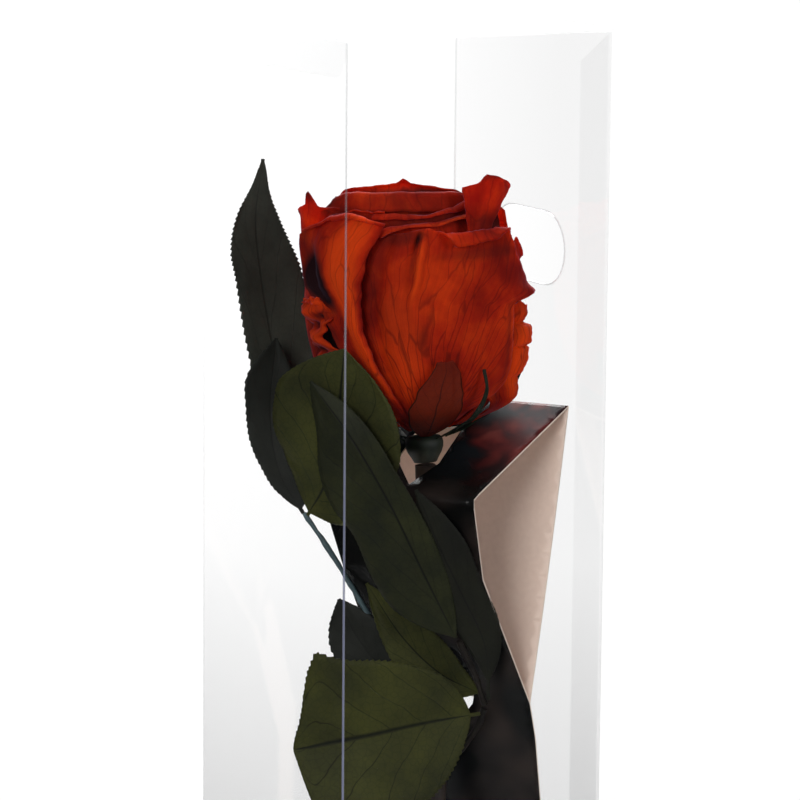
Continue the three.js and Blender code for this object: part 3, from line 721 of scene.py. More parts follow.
def makeCard():
    table = cardSection()
    lengths = [r[0] for r in table]
    byHeight, byDepth = [(-z, t) for t, n, z in table[:-1]], [(n, t) for t, n, z in table[:3]]
    right, left = [[(readTable(byHeight, -z) if z < 0 else 0, s) for z, s in card[cut][:-1]]
                   + [(lengths[-1], card[cut][-1][1])] for cut in ("rightCut", "leftCut")]
    holes = [[(readTable(byDepth, n), s) for s, n in card["stemHole"]],
             [(readTable(byHeight, -z), s) for s, z in card["waistHole"]]]
    folds = [((t, readTable(right, t) + 0.1), (t, readTable(left, t) - 0.1))
             for t in [lengths[k] for k in (1, 5, 9, 10)]]
    flat, faces = flatPiece(right + left[::-1], holes, 2.4, folds)
    kneeZ, (waistN, waistZ) = card["knee"][1], card["waist"]
    points = []
    for t, s in flat:
        n, z = [float(np.interp(t, lengths, [r[k] for r in table])) for k in (1, 2)]
        edge = min(abs(s - readTable(right, t)) / card["bowFrom"], 1)
        bow = card["bow"] * math.sin(math.pi * min(max((kneeZ - z) / (kneeZ - waistZ), 0), 1)) * edge
        points.append(cardPlace(s, n + bow, z))
    finishCard("card_front", points, faces, [(s, t) for t, s in flat], "card_insert")

    # back panel, from the top fold down to the waist
    length = math.hypot(waistN, waistZ)
    right, left = [[(z / waistZ * length, s) for z, s in card[cut]] for cut in ("backRight", "backLeft")]
    flat, faces = flatPiece(right + left[::-1], [], 3)
    points = []
    for t, s in flat:
        share = t / length
        points.append(cardPlace(s, waistN * share - card["sag"] * math.sin(math.pi * share), waistZ * share))
    finishCard("card_back", points, faces, [(s, -t) for t, s in flat], None)


makeCard()
print("stage: card insert")


# ---- rose head
head = {
    "base": Vector((6, -8, 210)),
    "top": Vector((0.5, -1.5, 280)),
    "profile": [(0, 5.5), (4, 15), (9, 22.5), (15, 26.7), (24, 29.3), (38, 30.2), (80, 29.8)],
    "curveSize": (80, 40),  # the height and radius that the profile is drawn to in a curve node
    "count": 22,
    "step": 18,
    "turn": 137.5,
    "budShare": 0.13,
    "thickness": 0.4,
}
headAxis = head["top"] - head["base"]
headLean = Vector((0, 0, 1)).rotation_difference(headAxis).to_matrix().to_4x4()
headToDisplay = Matrix.Translation(head["base"]) @ headLean


def newTree(name, shape, size, result):
    # a geometry tree that takes a shape, a size and a skin, and the function that adds its nodes
    tree = bpy.data.node_groups.new(name, "GeometryNodeTree")
    for socket, kind in ((shape, "Geometry"), (size, "Float"), ("Skin", "Material")):
        tree.interface.new_socket(socket, in_out="INPUT", socket_type="NodeSocket" + kind)
    tree.interface.new_socket(result, in_out="OUTPUT", socket_type="NodeSocketGeometry")
    return tree, partial(addNode, tree)


def makeWrapTree():
    # bends a flat petal round the head's barrel: x is the angle, y the height, z how far off its level it is
    tree, add = newTree("petal wrap", "Petal", "Level", "Petal")
    tall, wide = head["curveSize"]
    start = add("NodeGroupInput")
    parts = add("ShaderNodeSeparateXYZ", {0: add("GeometryNodeInputPosition")})
    share = add("ShaderNodeMath", {0: (parts, "Y"), 1: tall}, operation="DIVIDE")
    barrel = add("ShaderNodeFloatCurve", {"Value": share})
    curve = barrel.mapping.curves[0]
    for height, radius in head["profile"][1:-1]:
        curve.points.new(height / tall, radius / wide)
    curve.points[0].location = (0, head["profile"][0][1] / wide)
    curve.points[len(curve.points) - 1].location = (1, head["profile"][-1][1] / wide)
    barrel.mapping.update()
    width = add("ShaderNodeMath", {0: barrel, 1: wide}, operation="MULTIPLY")
    radius = add("ShaderNodeMath", {0: width, 1: (start, "Level"), 2: (parts, "Z")}, operation="MULTIPLY_ADD")
    x, y = [add("ShaderNodeMath", {0: radius, 1: add("ShaderNodeMath", {0: (parts, "X")}, operation=turn)},
                operation="MULTIPLY") for turn in ("COSINE", "SINE")]
    there = add("ShaderNodeCombineXYZ", {0: x, 1: y, 2: (parts, "Y")})
    moved = add("GeometryNodeSetPosition", {"Geometry": (start, "Petal"), "Position": there})
    real = add("GeometryNodeRealizeInstances", {0: moved})
    skinned = add("GeometryNodeSetMaterial", {"Geometry": real, "Material": (start, "Skin")})
    add("NodeGroupOutput", {0: skinned})
    return tree


def runTree(mesh, tree, values):
    # the mesh as the tree leaves it, as a plain mesh
    worker = bpy.data.objects.new("worker", mesh)
    scene.collection.objects.link(worker)
    modifier = worker.modifiers.new("tree", "NODES")
    modifier.node_group = tree
    for item in tree.interface.items_tree:
        if item.in_out == "INPUT" and item.name in values:
            modifier[item.identifier] = values[item.name]
    graph = bpy.context.evaluated_depsgraph_get()
    result = bpy.data.meshes.new_from_object(worker.evaluated_get(graph))
    bpy.data.objects.remove(worker)
    return result


# The petals that show are set out one by one: angles in degrees round the head (270 looks at the viewer),
# heights and offsets in millimetres. left and right are the side edges as (height, angle), rim is
# (share across, height), lean is (height, offset), across is (share across, offset), roll turns the rim over
# by an angle on a radius and ends in a flap, and bumps are (share, height, share wide, height wide, offset).
# The painted light marks are set out as bumps are: painted shade with some bruising where positive, painted
# glow of light coming through where negative. rollShare is how much of the roll there is (share across,
# part), flare spreads the right edge (height, angle), and fan is the share across that the veins run straight
# up from.
petalWays = {
    22: [{"left": [(3, 350), (6, 336), (10, 325), (20, 317), (38, 326)],
          "right": [(3, 352), (8, 355), (12, 355), (30, 354), (38, 348)],
          "rim": [(0, 34), (0.3, 36), (0.6, 36.5), (1, 33)],
          "lean": [(3, 0.8), (6.5, 3.0), (8.5, 3.1), (10, 2.1), (12.8, 0.1), (14, -0.5), (15.2, 0.6),
                   (21.4, 0.5), (22.2, -0.7), (22.9, 0.9), (25, 1.1), (26.8, 0.6), (27.5, 0.3), (28.4, -2.0),
                   (29.2, -1.0), (31, -0.2), (34, -0.7), (38, -1.4)],
          "across": [(0, -5.5), (0.3, -4.2), (0.5, -2.6), (0.75, -0.5), (1, 0.4)],
          "shadeGlowBruises": [(0.2, 22, 0.2, 16, 0.5), (0.8, 20, 0.3, 14, -1.1)], "roll": (25, 2, 0), "ragged": 1.6,
          "edgeRagged": 1.2, "edgeWavy": 0.45},
         {"left": [(3, 30), (10, 14), (20, 8), (40, 2), (46, -7), (60, -10)],
          "right": [(3, 90), (20, 120), (60, 126)],
          "rim": [(0, 50.6), (0.02, 51.4), (0.05, 49.4), (0.12, 46), (0.3, 48), (0.5, 54), (0.8, 56),
                  (1, 48)], "rollShare": [(0, 0.2), (0.15, 0.5), (0.4, 1), (1, 1)],
          "lean": [(3, 0), (20, -1), (40, -1.2), (60, -0.8)], "roll": (130, 2.2, 0.5),
          "across": [(0, -1.5), (0.1, 0)]}],
    21: [{"left": [(2, 268), (8, 250), (15, 243), (25, 238), (36, 237), (46, 241), (56, 250)],
          "right": [(2, 296), (6, 303), (8.5, 312), (11, 322), (15, 327), (21, 328), (28, 328), (36, 328),
                    (43, 333), (49, 334), (53, 331)],
          "flare": [(34.4, 0), (35, 10), (35.6, 22), (36.6, 27), (38, 21), (40, 17), (43, 10), (48, 2),
                    (53, 0)],
          "rim": [(0, 53), (0.15, 55), (0.35, 55.8), (0.47, 54.6), (0.6, 54.2), (0.75, 54.6), (0.9, 54.8),
                  (1, 53.4)], "lean": [(2, 0.8), (10, 1.2), (30, 0.8), (56, 0.2)],
          "across": [(0, -3.4), (0.12, -3.0), (0.2, -1.6), (0.3, -0.5), (0.42, 0), (0.8, 0.5), (0.97, 0.7),
                     (1, 1.0)],
          "bumps": [(0.348, 47, 0.014, 9, 2.6), (0.365, 46, 0.03, 8, 0.8), (0.32, 52.5, 0.02, 2.6, -2.0),
                    (0.5, 47, 0.05, 5, -0.9), (1, 36.6, 0.05, 1.6, 1.7), (0.7, 30, 0.12, 14, -0.6),
                    (0.93, 35, 0.05, 10, 0.6), (0.22, 30, 0.05, 18, 0.5)],
          "shadeGlowBruises": [(0.02, 38, 0.14, 22, 0.35), (0.325, 53.2, 0.028, 2, 0.6), (0.35, 46, 0.014, 9, -0.8),
                     (0.325, 45, 0.018, 8, 0.35), (0.22, 54.5, 0.14, 2.4, 0.45), (0.25, 30, 0.16, 14, -0.4),
                     (0.75, 48.5, 0.3, 1.6, 0.35), (0.5, 3, 0.5, 3.5, 0.5), (0.995, 25, 0.012, 12, -0.8),
                     (0.96, 25, 0.025, 12, 0.3)],
          "rollShare": [(0, 0.05), (0.42, 0.08), (0.53, 1), (0.8, 0.9), (0.93, 0.6), (1, 0.1)],
          "roll": (168, 0.6, 3.2), "fan": 0.28, "ragged": 0.5}],
    20: [{"left": [(3, 130), (20, 96), (60, 90)],
          "right": [(3, 200), (10, 206), (20, 212), (34, 214), (45, 213), (55, 220), (62, 226)],
          "rim": [(0, 50), (0.5, 56), (0.6, 60), (0.67, 62.4), (0.78, 63.4), (0.81, 64), (0.826, 66),
                  (0.84, 67.9), (0.852, 66.8), (0.864, 64), (0.876, 63.2), (1, 62.4)],
          "lean": [(3, 0), (20, 1.4), (40, 2), (50, 1.5), (60, 1), (68, 2)],
          "across": [(0, 0), (0.7, 0), (0.78, -0.4), (0.85, -1.4), (0.93, -4.5), (1, -6)],
          "roll": (60, 1.2, 0), "ragged": 0.3, "edgeRagged": 1.5, "edgeWavy": 1.2,
          "shadeGlowBruises": [(0.95, 32, 0.14, 15, 1.0), (0.84, 67, 0.02, 1.6, 0.6), (0.68, 62, 0.04, 1.5, 0.5)],
          "bumps": [(0.84, 48, 0.13, 8, -4.5)]},
         {"left": [(1, 250), (15, 240), (20, 224), (23, 206), (26, 199), (30, 201), (33, 196), (36, 194),
                   (40, 200)],
          "right": [(1, 252), (15, 244), (20, 236), (24, 226), (29, 215), (31, 219), (34, 221), (40, 218)],
          "rim": [(0, 37), (0.2, 39.5), (0.4, 37.6), (0.6, 40), (0.8, 38), (1, 39)],
          "lean": [(1, 0), (15, 0.5), (22, 1.6), (30, 2.2), (40, 2.6)], "roll": (80, 1, 0.8), "ragged": 2.0,
          "edgeRagged": 3.0, "edgeWavy": 2.4,
          "bumps": [(0.3, 32, 0.25, 1.3, -3.2), (0.75, 34.5, 0.25, 1.3, -2.6), (0.35, 35.5, 0.3, 1.6, 1.6),
                    (0.5, 28.5, 0.4, 1.8, 1.8), (0.25, 25.5, 0.3, 1.2, -2.4)],
          "shadeGlowBruises": [(0.5, 30, 0.7, 13, -0.55), (0.3, 32, 0.3, 1.3, 1.5), (0.75, 34.5, 0.3, 1.2, 1.5),
                     (0.25, 25.5, 0.35, 1.2, 1.4)]}],
    19: [{"left": [(3, 340), (10, 325), (25, 312), (45, 304), (56, 303), (70, 300)],
          "right": [(3, 350), (25, 324), (50, 319), (55, 322), (60.5, 332), (65, 348), (70, 350)],
          "rim": [(0, 66), (0.12, 66.5), (0.24, 66.9), (0.3, 68.3), (0.36, 69.1), (0.45, 68.6), (0.7, 67),
                  (1, 65)], "lean": [(3, 0), (40, 0.6), (56, 1.2), (62, 1.6), (69, 2.2)],
          "across": [(0, 0.2), (0.6, 0.6), (0.9, 0), (1, -0.5)],
          "shadeGlowBruises": [(0.5, 68.6, 0.3, 0.9, 0.4), (0.7, 56, 0.4, 3, 0.3)], "bumps": [(0.3, 57, 0.2, 6, -0.7)],
          "roll": (50, 1.0, 0), "ragged": 0.3},
         {"left": [(3, 330), (25, 318), (60, 314)], "right": [(3, 410), (20, 436), (60, 440)],
          "rim": [(0, 58), (0.08, 61.5), (0.14, 63), (0.17, 62.4), (0.19, 57), (0.22, 52), (0.45, 52),
                  (0.7, 54), (1, 50)], "lean": [(3, 0), (40, 0), (60, 0.4)],
          "across": [(0, -1.6), (0.2, -1.6), (0.35, -2.6), (0.6, 0), (1, 0)],
          "shadeGlowBruises": [(0.16, 58, 0.12, 9, 0.85)], "roll": (60, 1.0, 0), "ragged": 0.4}],
    18: [{"left": [(3, 250), (10, 240), (20, 232), (22.5, 230), (26.5, 224), (30, 221), (33.5, 217),
                   (36, 214), (38.5, 208), (40.5, 200), (42.5, 191), (46, 183), (53, 184), (57, 192),
                   (60, 206)],
          "right": [(3, 262), (8, 258), (15, 252), (21, 247), (27, 244), (31, 242), (40, 242), (49.5, 247),
                    (58.5, 258)],
          "rim": [(0, 56), (0.15, 58.5), (0.35, 60.6), (0.6, 61.4), (0.75, 60.6), (0.9, 59), (1, 58)],
          "lean": [(3, 1.5), (10, 3.2), (30, 3.8), (50, 3.6), (60, 3.0)],
          "across": [(0, 0.8), (0.06, 0.4), (0.3, -0.2), (0.6, 0.5), (0.85, 1.3), (0.95, 1.2), (1, 0.4)],
          "roll": (170, 0.6, 0.9), "rollShare": [(0, 0.1), (0.15, 0.8), (0.6, 1), (1, 0.7)], "ragged": 0.35,
          "shadeGlowBruises": [(0.28, 44, 0.3, 8, 1.4), (0.05, 55, 0.1, 4, 0.4), (0.0, 30, 0.1, 12, 0.4),
                     (1.02, 36, 0.1, 26, 0.4), (0.76, 40, 0.21, 24, -1.1)],
          "bumps": [(0.2, 47, 0.16, 8, -2.6), (0.9, 40, 0.1, 16, 0.6), (0.5, 56, 0.2, 4, 0.5)]}],
    16: [{"left": [(3, 300), (20, 262), (45, 254), (60, 254)], "right": [(3, 330), (20, 390), (60, 392)],
          "rim": [(0, 56.6), (0.06, 57.2), (0.21, 57.4), (0.38, 58.6), (0.52, 61.4), (0.6, 60.2),
                  (0.64, 56.5), (0.7, 53), (1, 50)], "lean": [(3, 0), (35, 0.5), (50, 2), (60, 2.6)],
          "roll": (165, 0.8, 1.6), "ragged": 0.25, "shadeGlowBruises": [(0.3, 60.5, 0.4, 1.6, -0.4)]}],
    15: [{"left": [(3, 160), (20, 132), (60, 126)], "right": [(3, 220), (20, 250), (60, 256)],
          "rim": [(0, 52), (0.4, 56), (0.7, 60.5), (0.85, 62), (1, 60.5)],
          "lean": [(3, 0), (40, 0.5), (60, 2.4)], "shadeGlowBruises": [(0.75, 58, 0.2, 5, 0.6)],
          "roll": (120, 0.8, 0.4), "ragged": 0.9}],
    13: [{"left": [(3, 260), (20, 220), (45, 208), (68, 206)], "right": [(3, 300), (20, 336), (68, 334)],
          "rim": [(0, 63), (0.07, 65.6), (0.15, 66.6), (0.44, 65.8), (0.63, 65.4), (0.74, 65), (0.84, 64.2),
                  (0.945, 63.6), (1, 62)], "lean": [(3, 0), (30, 0.6), (55, 1.6), (62, 2.4), (70, 2.6)],
          "roll": (176, 0.85, 4.2),
          "shadeGlowBruises": [(0.5, 72, 0.5, 0.6, 0.4), (0.5, 57, 0.6, 5, 0.5), (0.04, 66, 0.05, 4, 0.6),
                     (0.5, 68, 0.6, 4, 0.12)],
          "rollShare": [(0, 0.6), (0.1, 1), (0.7, 1), (0.85, 0.9), (1, 0.7)], "ragged": 0.25},
         {"left": [(3, 280), (30, 262), (45, 252), (68, 246)], "right": [(3, 300), (30, 318), (68, 330)],
          "rim": [(0, 60.6), (0.12, 60.6), (0.4, 59.4), (0.62, 60.8), (0.8, 63), (1, 64.4)],
          "lean": [(3, 0), (30, 0.8), (50, 3), (58, 4.8), (64, 5.2)], "roll": (165, 0.6, 1.4), "ragged": 0.3,
          "shadeGlowBruises": [(0.5, 57, 0.6, 2.6, 0.6)]}],
    10: [{"left": [(3, 240), (20, 190), (60, 178)], "right": [(3, 300), (20, 322), (60, 326)],
          "rim": [(0, 64), (0.2, 67.4), (0.5, 68), (0.575, 68.4), (0.61, 69.5), (0.65, 68), (0.75, 67),
                  (0.9, 65.6), (1, 64)], "lean": [(3, 0), (40, 0.6), (68, 1.8)], "roll": (120, 0.7, 0.5),
          "ragged": 0.3, "shadeGlowBruises": [(0.5, 65.4, 0.6, 1.1, 0.8), (0.5, 60, 0.8, 5, 0.5)]}],
}
petalForm = {
    "along": 0.75, "across": 0.75, "length": 56,  # mesh spacing, and the length of petal that it is set for
    "fewest": (24, 20), "budLevel": 0.6, "budCoarse": 1.6,  # petals nearer the middle have longer cells
    "free": (34, 26),  # above this height a petal stands free, and wholly so this much higher
    # waves as (length across, length up, seed, size against the head, size added where it stands free)
    "waves": [(11, 16, 0, 0.35, 0.5), (2.6, 14, 5, 0.16, 0.12), (4, 4, 9, 0, 0.12)],
}


def plainWay(index, level, root):
    # an inner or rear petal that follows the spiral's own rule; the rims are highest on the viewer's side
    share = index / (head["count"] - 1)
    span = round((270 - 144 * min(1, share * 2.2)) / head["step"]) * head["step"]
    first = math.floor(index * head["turn"] / head["step"] + 0.5) * head["step"]
    middle = math.radians(first + span / 2)
    rim = 60.5 - 3.5 * math.sin(middle) * level + 1.5 * noise.noise(Vector((index * 1.7, 0, 0)))
    droop = (rim - root) * 0.2
    return {"left": [(root, first + span * 0.2), (25, first), (80, first)],
            "right": [(root, first + span * 0.8), (25, first + span), (80, first + span)],
            "rim": [(k / 8, rim - droop * abs(k / 4 - 1) ** 3) for k in range(9)],
            "roll": (90 + 60 * noise.noise(Vector((index * 2.3, 4, 0))), 1.2, 0), "ragged": 0.8}


def smoothTable(table, x):
    # eased steps between the entries of a table
    if x <= table[0][0]:
        return table[0][1]
    for (x0, y0), (x1, y1) in zip(table, table[1:]):
        if x <= x1:
            t = (x - x0) / (x1 - x0)
            return y0 + (y1 - y0) * (t * 0.4 + 0.6 * t * t * (3 - 2 * t))
    return table[-1][1]


def petalGrid(way, level, root, seed):
    # one lobe as flat points (angle, height, offset), its surface coordinates in millimetres and its stains
    form = petalForm
    radius = 30 * level
    span = max(abs(smoothTable(way["right"], h) - smoothTable(way["left"], h)) for h in range(2, 60, 2))
    width = math.radians(span) * radius
    columns = max(form["fewest"][1], round(width / form["across"]))
    coarse = 1 if level > form["budLevel"] else form["budCoarse"]
    rows = max(form["fewest"][0], round(form["length"] / form["along"] / coarse))
    angle, bend, flap = way["roll"]
    still = [(0, 0), (80, 0)]
    points, uv, shadeGlowBruises = [], [], []
    for i in range(rows):
        v = i / (rows - 1)
        for j in range(columns):
            a = j / (columns - 1)
            along = a * math.radians(span) * radius
            here = Vector((along / 9 + seed, 0, seed * 0.3))
            ragged = way.get("ragged", 0.5) * (noise.noise(here * 2.2) + 0.5 * noise.noise(here * 7))
            share = smoothTable(way["rollShare"], a) if "rollShare" in way else 0.85 + 0.4 * noise.noise(here)
            turn = math.radians(max(0, angle * share))
            top = smoothTable(way["rim"], a) + ragged
            straight = top - root - bend * math.sin(min(turn, math.pi / 2))
            s = (straight + bend * turn + flap * max(0, share)) * v
            t = min(max(s - straight, 0) / bend, turn)
            rest = max(0, s - straight - bend * turn)
            height = root + min(s, straight) + bend * math.sin(t) + rest * math.cos(t)
            out = bend * (1 - math.cos(t)) + rest * math.sin(t)
            upTo = min(root + s, top)
            start, end = smoothTable(way["left"], upTo), smoothTable(way["right"], upTo)
            edge = min(a, 1 - a) * math.radians(abs(end - start)) * radius
            fray = way.get("edgeRagged", 0.6) * max(0, 1 - edge / 4)
            fray *= noise.noise(Vector((s / 2.6, a * 3, seed)))
            theta = start + (end - start) * a + math.degrees(fray / radius) * (1 if a > 0.5 else -1)
            theta += smoothTable(way.get("flare", still), upTo) * max(0, (a - 0.72) / 0.28) ** 2
            frill = noise.noise(Vector((s / 3.2, a * 2, seed + 2)))
            frill += 0.5 * noise.noise(Vector((s / 1.2, a, seed)))
            out += way.get("edgeWavy", 0) * max(0, 1 - edge / 5) * frill
            out += smoothTable(way.get("lean", still), upTo)
            out += smoothTable(way.get("across", still), a) * min(1, (root + s) / 14)
            for atA, atH, wideA, wideH, size in way.get("bumps", ()):
                out += size * math.exp(-((a - atA) / wideA) ** 2 - ((root + s - atH) / wideH) ** 2)
            # painted shade, with some bruising, where positive and painted glow where negative, laid on as
            # bumps are
            mark = 0
            for atA, atH, wideA, wideH, size in way.get("shadeGlowBruises", ()):
                mark += size * math.exp(-(((a - atA) / wideA) ** 2 + ((root + s - atH) / wideH) ** 2) ** 2)
            shadeGlowBruises.append(mark)
            free = min(max((upTo - form["free"][0]) / form["free"][1], 0), 1)
            for wide, tall, shift, held, loose in form["waves"]:
                out += noise.noise(Vector((along / wide, s / tall, seed + shift))) * (held + loose * free)
            points.append((math.radians(theta), height, out))
            uv.append((along - way.get("fan", 0.5) * math.radians(span) * radius, s))
    return points, uv, shadeGlowBruises, gridFaces(rows, columns)


def wrapLobes(name, lobes, level, root, seed, skin, node, thickness, leafUv=False):
    # petals or sepals bent round the head from flat lobes
    points, uv, shadeGlowBruises, grown, faces = [], [], [], [], []
    for lobe, way in enumerate(lobes):
        lobePoints, lobeUv, lobeShadeGlowBruises, lobeFaces = petalGrid(way, level, root, seed + lobe * 40)
        if leafUv:
            wide, tall = max(p[0] for p in lobeUv), max(p[1] for p in lobeUv)
            lobeUv = [(x / wide, y / tall) for x, y in lobeUv]
        faces += [tuple(k + len(points) for k in face) for face in lobeFaces]
        grown += [seed * 7.3 + lobe * 5] * len(lobePoints)
        points += lobePoints
        uv += lobeUv
        shadeGlowBruises += lobeShadeGlowBruises
    mesh = makeMesh("flat", points, faces, uv, {"stain": shadeGlowBruises, "grown": grown})
    bent = runTree(mesh, wrapTree, {"Level": level, "Skin": skin})
    bent.transform(headToDisplay)
    thicken(finishPiece(name, bent, [skin], node), thickness)


wrapTree = makeWrapTree()
for number in range(1, head["count"] + 1):
    level = head["budShare"] + (1 - head["budShare"]) * (number - 1) / (head["count"] - 1)
    root = 1 + 10 * (1 - level)
    petalName = "petal_%02d" % number
    lobes = petalWays.get(number, [plainWay(number - 1, level, root)])
    wrapLobes(petalName + "_skin", lobes, level, root, number * 3.1, petalMaterial, petalName,
              head["thickness"])
print("stage: petals")


# ---- leaves and sepals
def bladeWidth(widths, u):
    # half width at the share u of the way from base to tip, in a smooth curve through the given widths
    knots = [0, *widths, 0]
    last = len(knots) - 1
    slopes = [knots[1] * 1.6] + [(b - a) / 2 for a, b in zip(knots, knots[2:])] + [-knots[last - 1] * 1.5]
    place = min(u * last, last - 0.001)
    i = int(place)
    t = place - i
    return (knots[i] * (2 * t ** 3 - 3 * t ** 2 + 1) + slopes[i] * (t ** 3 - 2 * t ** 2 + t)
            + knots[i + 1] * (3 * t ** 2 - 2 * t ** 3) + slopes[i + 1] * (t ** 3 - t ** 2))


bladeForm = {
    "cells": 9,  # to each side of the midrib
    "step": 0.42,
    "tooth": 1.7,  # from one tooth to the next along the edge
    "slimmest": 0.45,
}


def makeBladePiece(name, node, leaf, skin, matrix=displayToFrame):
    # a thin blade folded along its midrib, with teeth that point to the tip
    path = [Vector(p) for p in leaf["midrib"]]
    facing = [Vector(p).normalized() for p in leaf["face"]]
    fold = math.radians(leaf.get("fold", 12))
    neck, teeth = leaf.get("neck", 0), leaf.get("teeth", 0)
    half = bladeForm["cells"]
    seed = sum(map(ord, name)) * 0.37
    length = sum((q - p).length for p, q in zip(path, path[1:]))
    fine = np.linspace(0, 1, 401)
    walk, wide, slope = {}, {}, {}  # along each edge from base to tip: its length, half width and slant
    for side in ("left", "right"):
        widths = [bladeWidth(leaf[side], max(0, (u - neck) / (1 - neck))) for u in fine]
        wide[side] = np.array([max(bladeForm["slimmest"], w) for w in widths])
        walk[side] = np.concatenate([[0], np.cumsum(np.hypot(np.diff(fine) * length, np.diff(wide[side])))])
        slope[side] = np.gradient(wide[side], fine * length)
    both = (walk["left"] + walk["right"]) / 2
    rows = max(30, int(both[-1] / bladeForm["step"])) + 1
    points, uv = [], []
    for i in range(rows):
        u = float(np.interp(i / (rows - 1) * both[-1], both, fine))
        middle, along = curvePoint(path, u), curveTangent(path, u)
        toward = facing[0].lerp(facing[1], u)
        side = toward.cross(along).normalized()
        normal = along.cross(side).normalized()
        for j in range(-half, half + 1):
            edge = "left" if j > 0 else "right"
            width, slant, walked = [float(np.interp(u, fine, table[edge])) for table in (wide, slope, walk)]
            back = 0
            if teeth and abs(j) == half:
                bite = teeth * (walked / bladeForm["tooth"] % 1) / math.hypot(1, slant)
                width, back = max(0.4, width - bite), bite * max(-2, min(slant, 2))
            across = j / half
            wave = noise.noise(Vector((across * 1.3, u * 4, seed))) * 0.9
            wave += noise.noise(Vector((across * 4, u * 11, seed + 7))) * 0.35
            lift = abs(across) * width * math.sin(fold) + wave * min(1, width / 5) * abs(across)
            points.append(middle + side * across * width * math.cos(fold) + along * back + normal * lift)
            uv.append((across, u))
    mesh = makeMesh(name, points, gridFaces(rows, 2 * half + 1), uv)
    thicken(finishPiece(name, mesh, [skin], node, matrix=matrix), leaf.get("thick", 0.3))


leaves = {  # midrib from base to tip, half widths along each side, and what the face looks to at base and tip
    "leaf_upper_tall": {
        "midrib": [(-28, 0.5, 203), (-34, 6.5, 225), (-38.5, 9, 250), (-40, 9.5, 266), (-38, 9.5, 282)],
        "left": (6.8, 7.5, 7.8, 7.8, 8.2, 6.3, 2.4), "right": (8.6, 11.2, 12.6, 12, 9.7, 7, 3.4),
        "face": [(0.4, -1, 0), (0.5, -1, 0)], "teeth": 0.7, "fold": 4, "skin": leafDarkShade},
    "leaf_upper_side": {
        "midrib": [(-26.2, -11.8, 188.6), (-33, -5, 199), (-35.5, -1, 214), (-34, 2.5, 234)],
        "left": (2.8, 4.4, 6.3, 7, 7.2), "right": (9, 10, 10, 9, 6), "face": [(0.1, -1, 0), (0.3, -1, 0)],
        "teeth": 0.4, "neck": 0.03, "fold": 3, "skin": leafGreyShade},
    "leaf_upper_front": {
        "midrib": [(-25, -14, 188.5), (-20, -21, 199), (-17, -28, 215), (-15, -33, 237)],
        "left": (12, 16.2, 19.5, 20, 17), "right": (11, 15, 18.7, 19.7, 14),
        "face": [(-0.5, -1, 0.1), (-0.5, -1, 0.1)],
        "teeth": 0.25, "neck": 0.03, "fold": 0, "skin": leafOlive},
    "leaf_middle_long": {
        "midrib": [(15, -30.5, 159), (6, -35, 178), (-3, -37.5, 197), (-13, -37, 214), (-24, -31.5, 228)],
        "left": (11.7, 14.2, 14, 16, 14, 8), "right": (4.5, 6, 6, 5.5, 5.5, 4),
        "face": [(0, -1, 0), (-0.45, -1, 0)], "teeth": 0.2, "fold": -12, "skin": leafDeep},
    "leaf_middle_right": {
        "midrib": [(24, -22.5, 140), (22.8, -26.8, 156), (16.5, -31.8, 171), (10.5, -34.2, 184),
                   (4, -35.4, 200)],
        "left": (5.5, 5.5, 4), "right": (5.6, 6.4, 6.6), "face": [(0, -1, 0), (0, -1, 0)],
        "teeth": 0.2, "neck": 0.08, "fold": -4, "skin": leafShade},
    "leaf_middle_low": {
        "midrib": [(21.4, -20.2, 141.4), (11, -21.5, 147), (1, -21, 156.5), (-9, -18.5, 171)],
        "left": (6, 7.2, 4.8), "right": (5.8, 8, 6), "face": [(0, -1, 0), (0, -1, 0)],
        "teeth": 0.3, "skin": leafOlive},
    "leaf_lower_broad": {
        "midrib": [(21.8, -22.2, 136.2), (7, -28, 135), (-8, -30, 132), (-28.2, -28.4, 127.4)],
        "left": (7.5, 12.2, 15.5, 17.8, 19.8, 21, 22.2, 23, 24.2, 24.2, 24, 23.6, 22.6, 20),
        "right": (7.2, 11, 13.8, 15.8, 17.4, 18.8, 20, 20.8, 21.6, 22.4, 24, 25.8, 19.5, 9),
        "face": [(0.1, -1, 0.1), (-0.1, -1, 0.1)], "teeth": 0.75, "neck": 0.06, "skin": leafOlive},
    "leaf_lower_back": {
        "midrib": [(3, -22, 141), (-5, -19, 148), (-11.5, -17, 156), (-16.5, -15, 165.8)],
        "left": (6, 8.4, 7.4), "right": (6, 8, 7), "face": [(0, -1, 0), (0, -1, 0)],
        "teeth": 0.5, "skin": leafGreyShade},
}
for leafName, leaf in leaves.items():
    makeBladePiece(leafName + "_blade", leafName, leaf, leaf["skin"])
print("stage: leaves")

sepals = {
    "sepal_2": {"turn": -54, "reach": 1.6, "height": 18, "width": 0.9, "bulge": 4},
    "sepal_3": {"turn": 8, "reach": 1.1, "height": 18, "width": 4, "bulge": 0},
    "sepal_4": {"turn": 140, "reach": 1.1, "height": 20, "width": 4, "bulge": 0},
    "sepal_5": {"turn": 205, "reach": 1.3, "height": 16, "width": 3.6, "bulge": 0},
}
frontSepal = {  # lies flat against the head, set out as a petal is
    "left": [(0.3, 256), (3, 257), (8, 261), (11.5, 267), (20.5, 279), (21.5, 280)],
    "right": [(0.3, 302), (3, 301), (7, 299), (10.5, 296), (17.5, 292), (20.5, 288.5)],
    "rim": [(0, 21), (0.2, 21.2), (0.5, 20.8), (0.7, 21), (0.85, 21.3), (1, 20.6)],
    "lean": [(0, -0.4), (2, 0.6), (5, 1.2), (21, 1.5)], "roll": (20, 1, 0), "ragged": 0.4, "edgeRagged": 0.5,
}
wrapLobes("sepal_1_blade", [frontSepal], 1.0, -0.5, 71, sepalBrown, "sepal_1", 0.3, True)
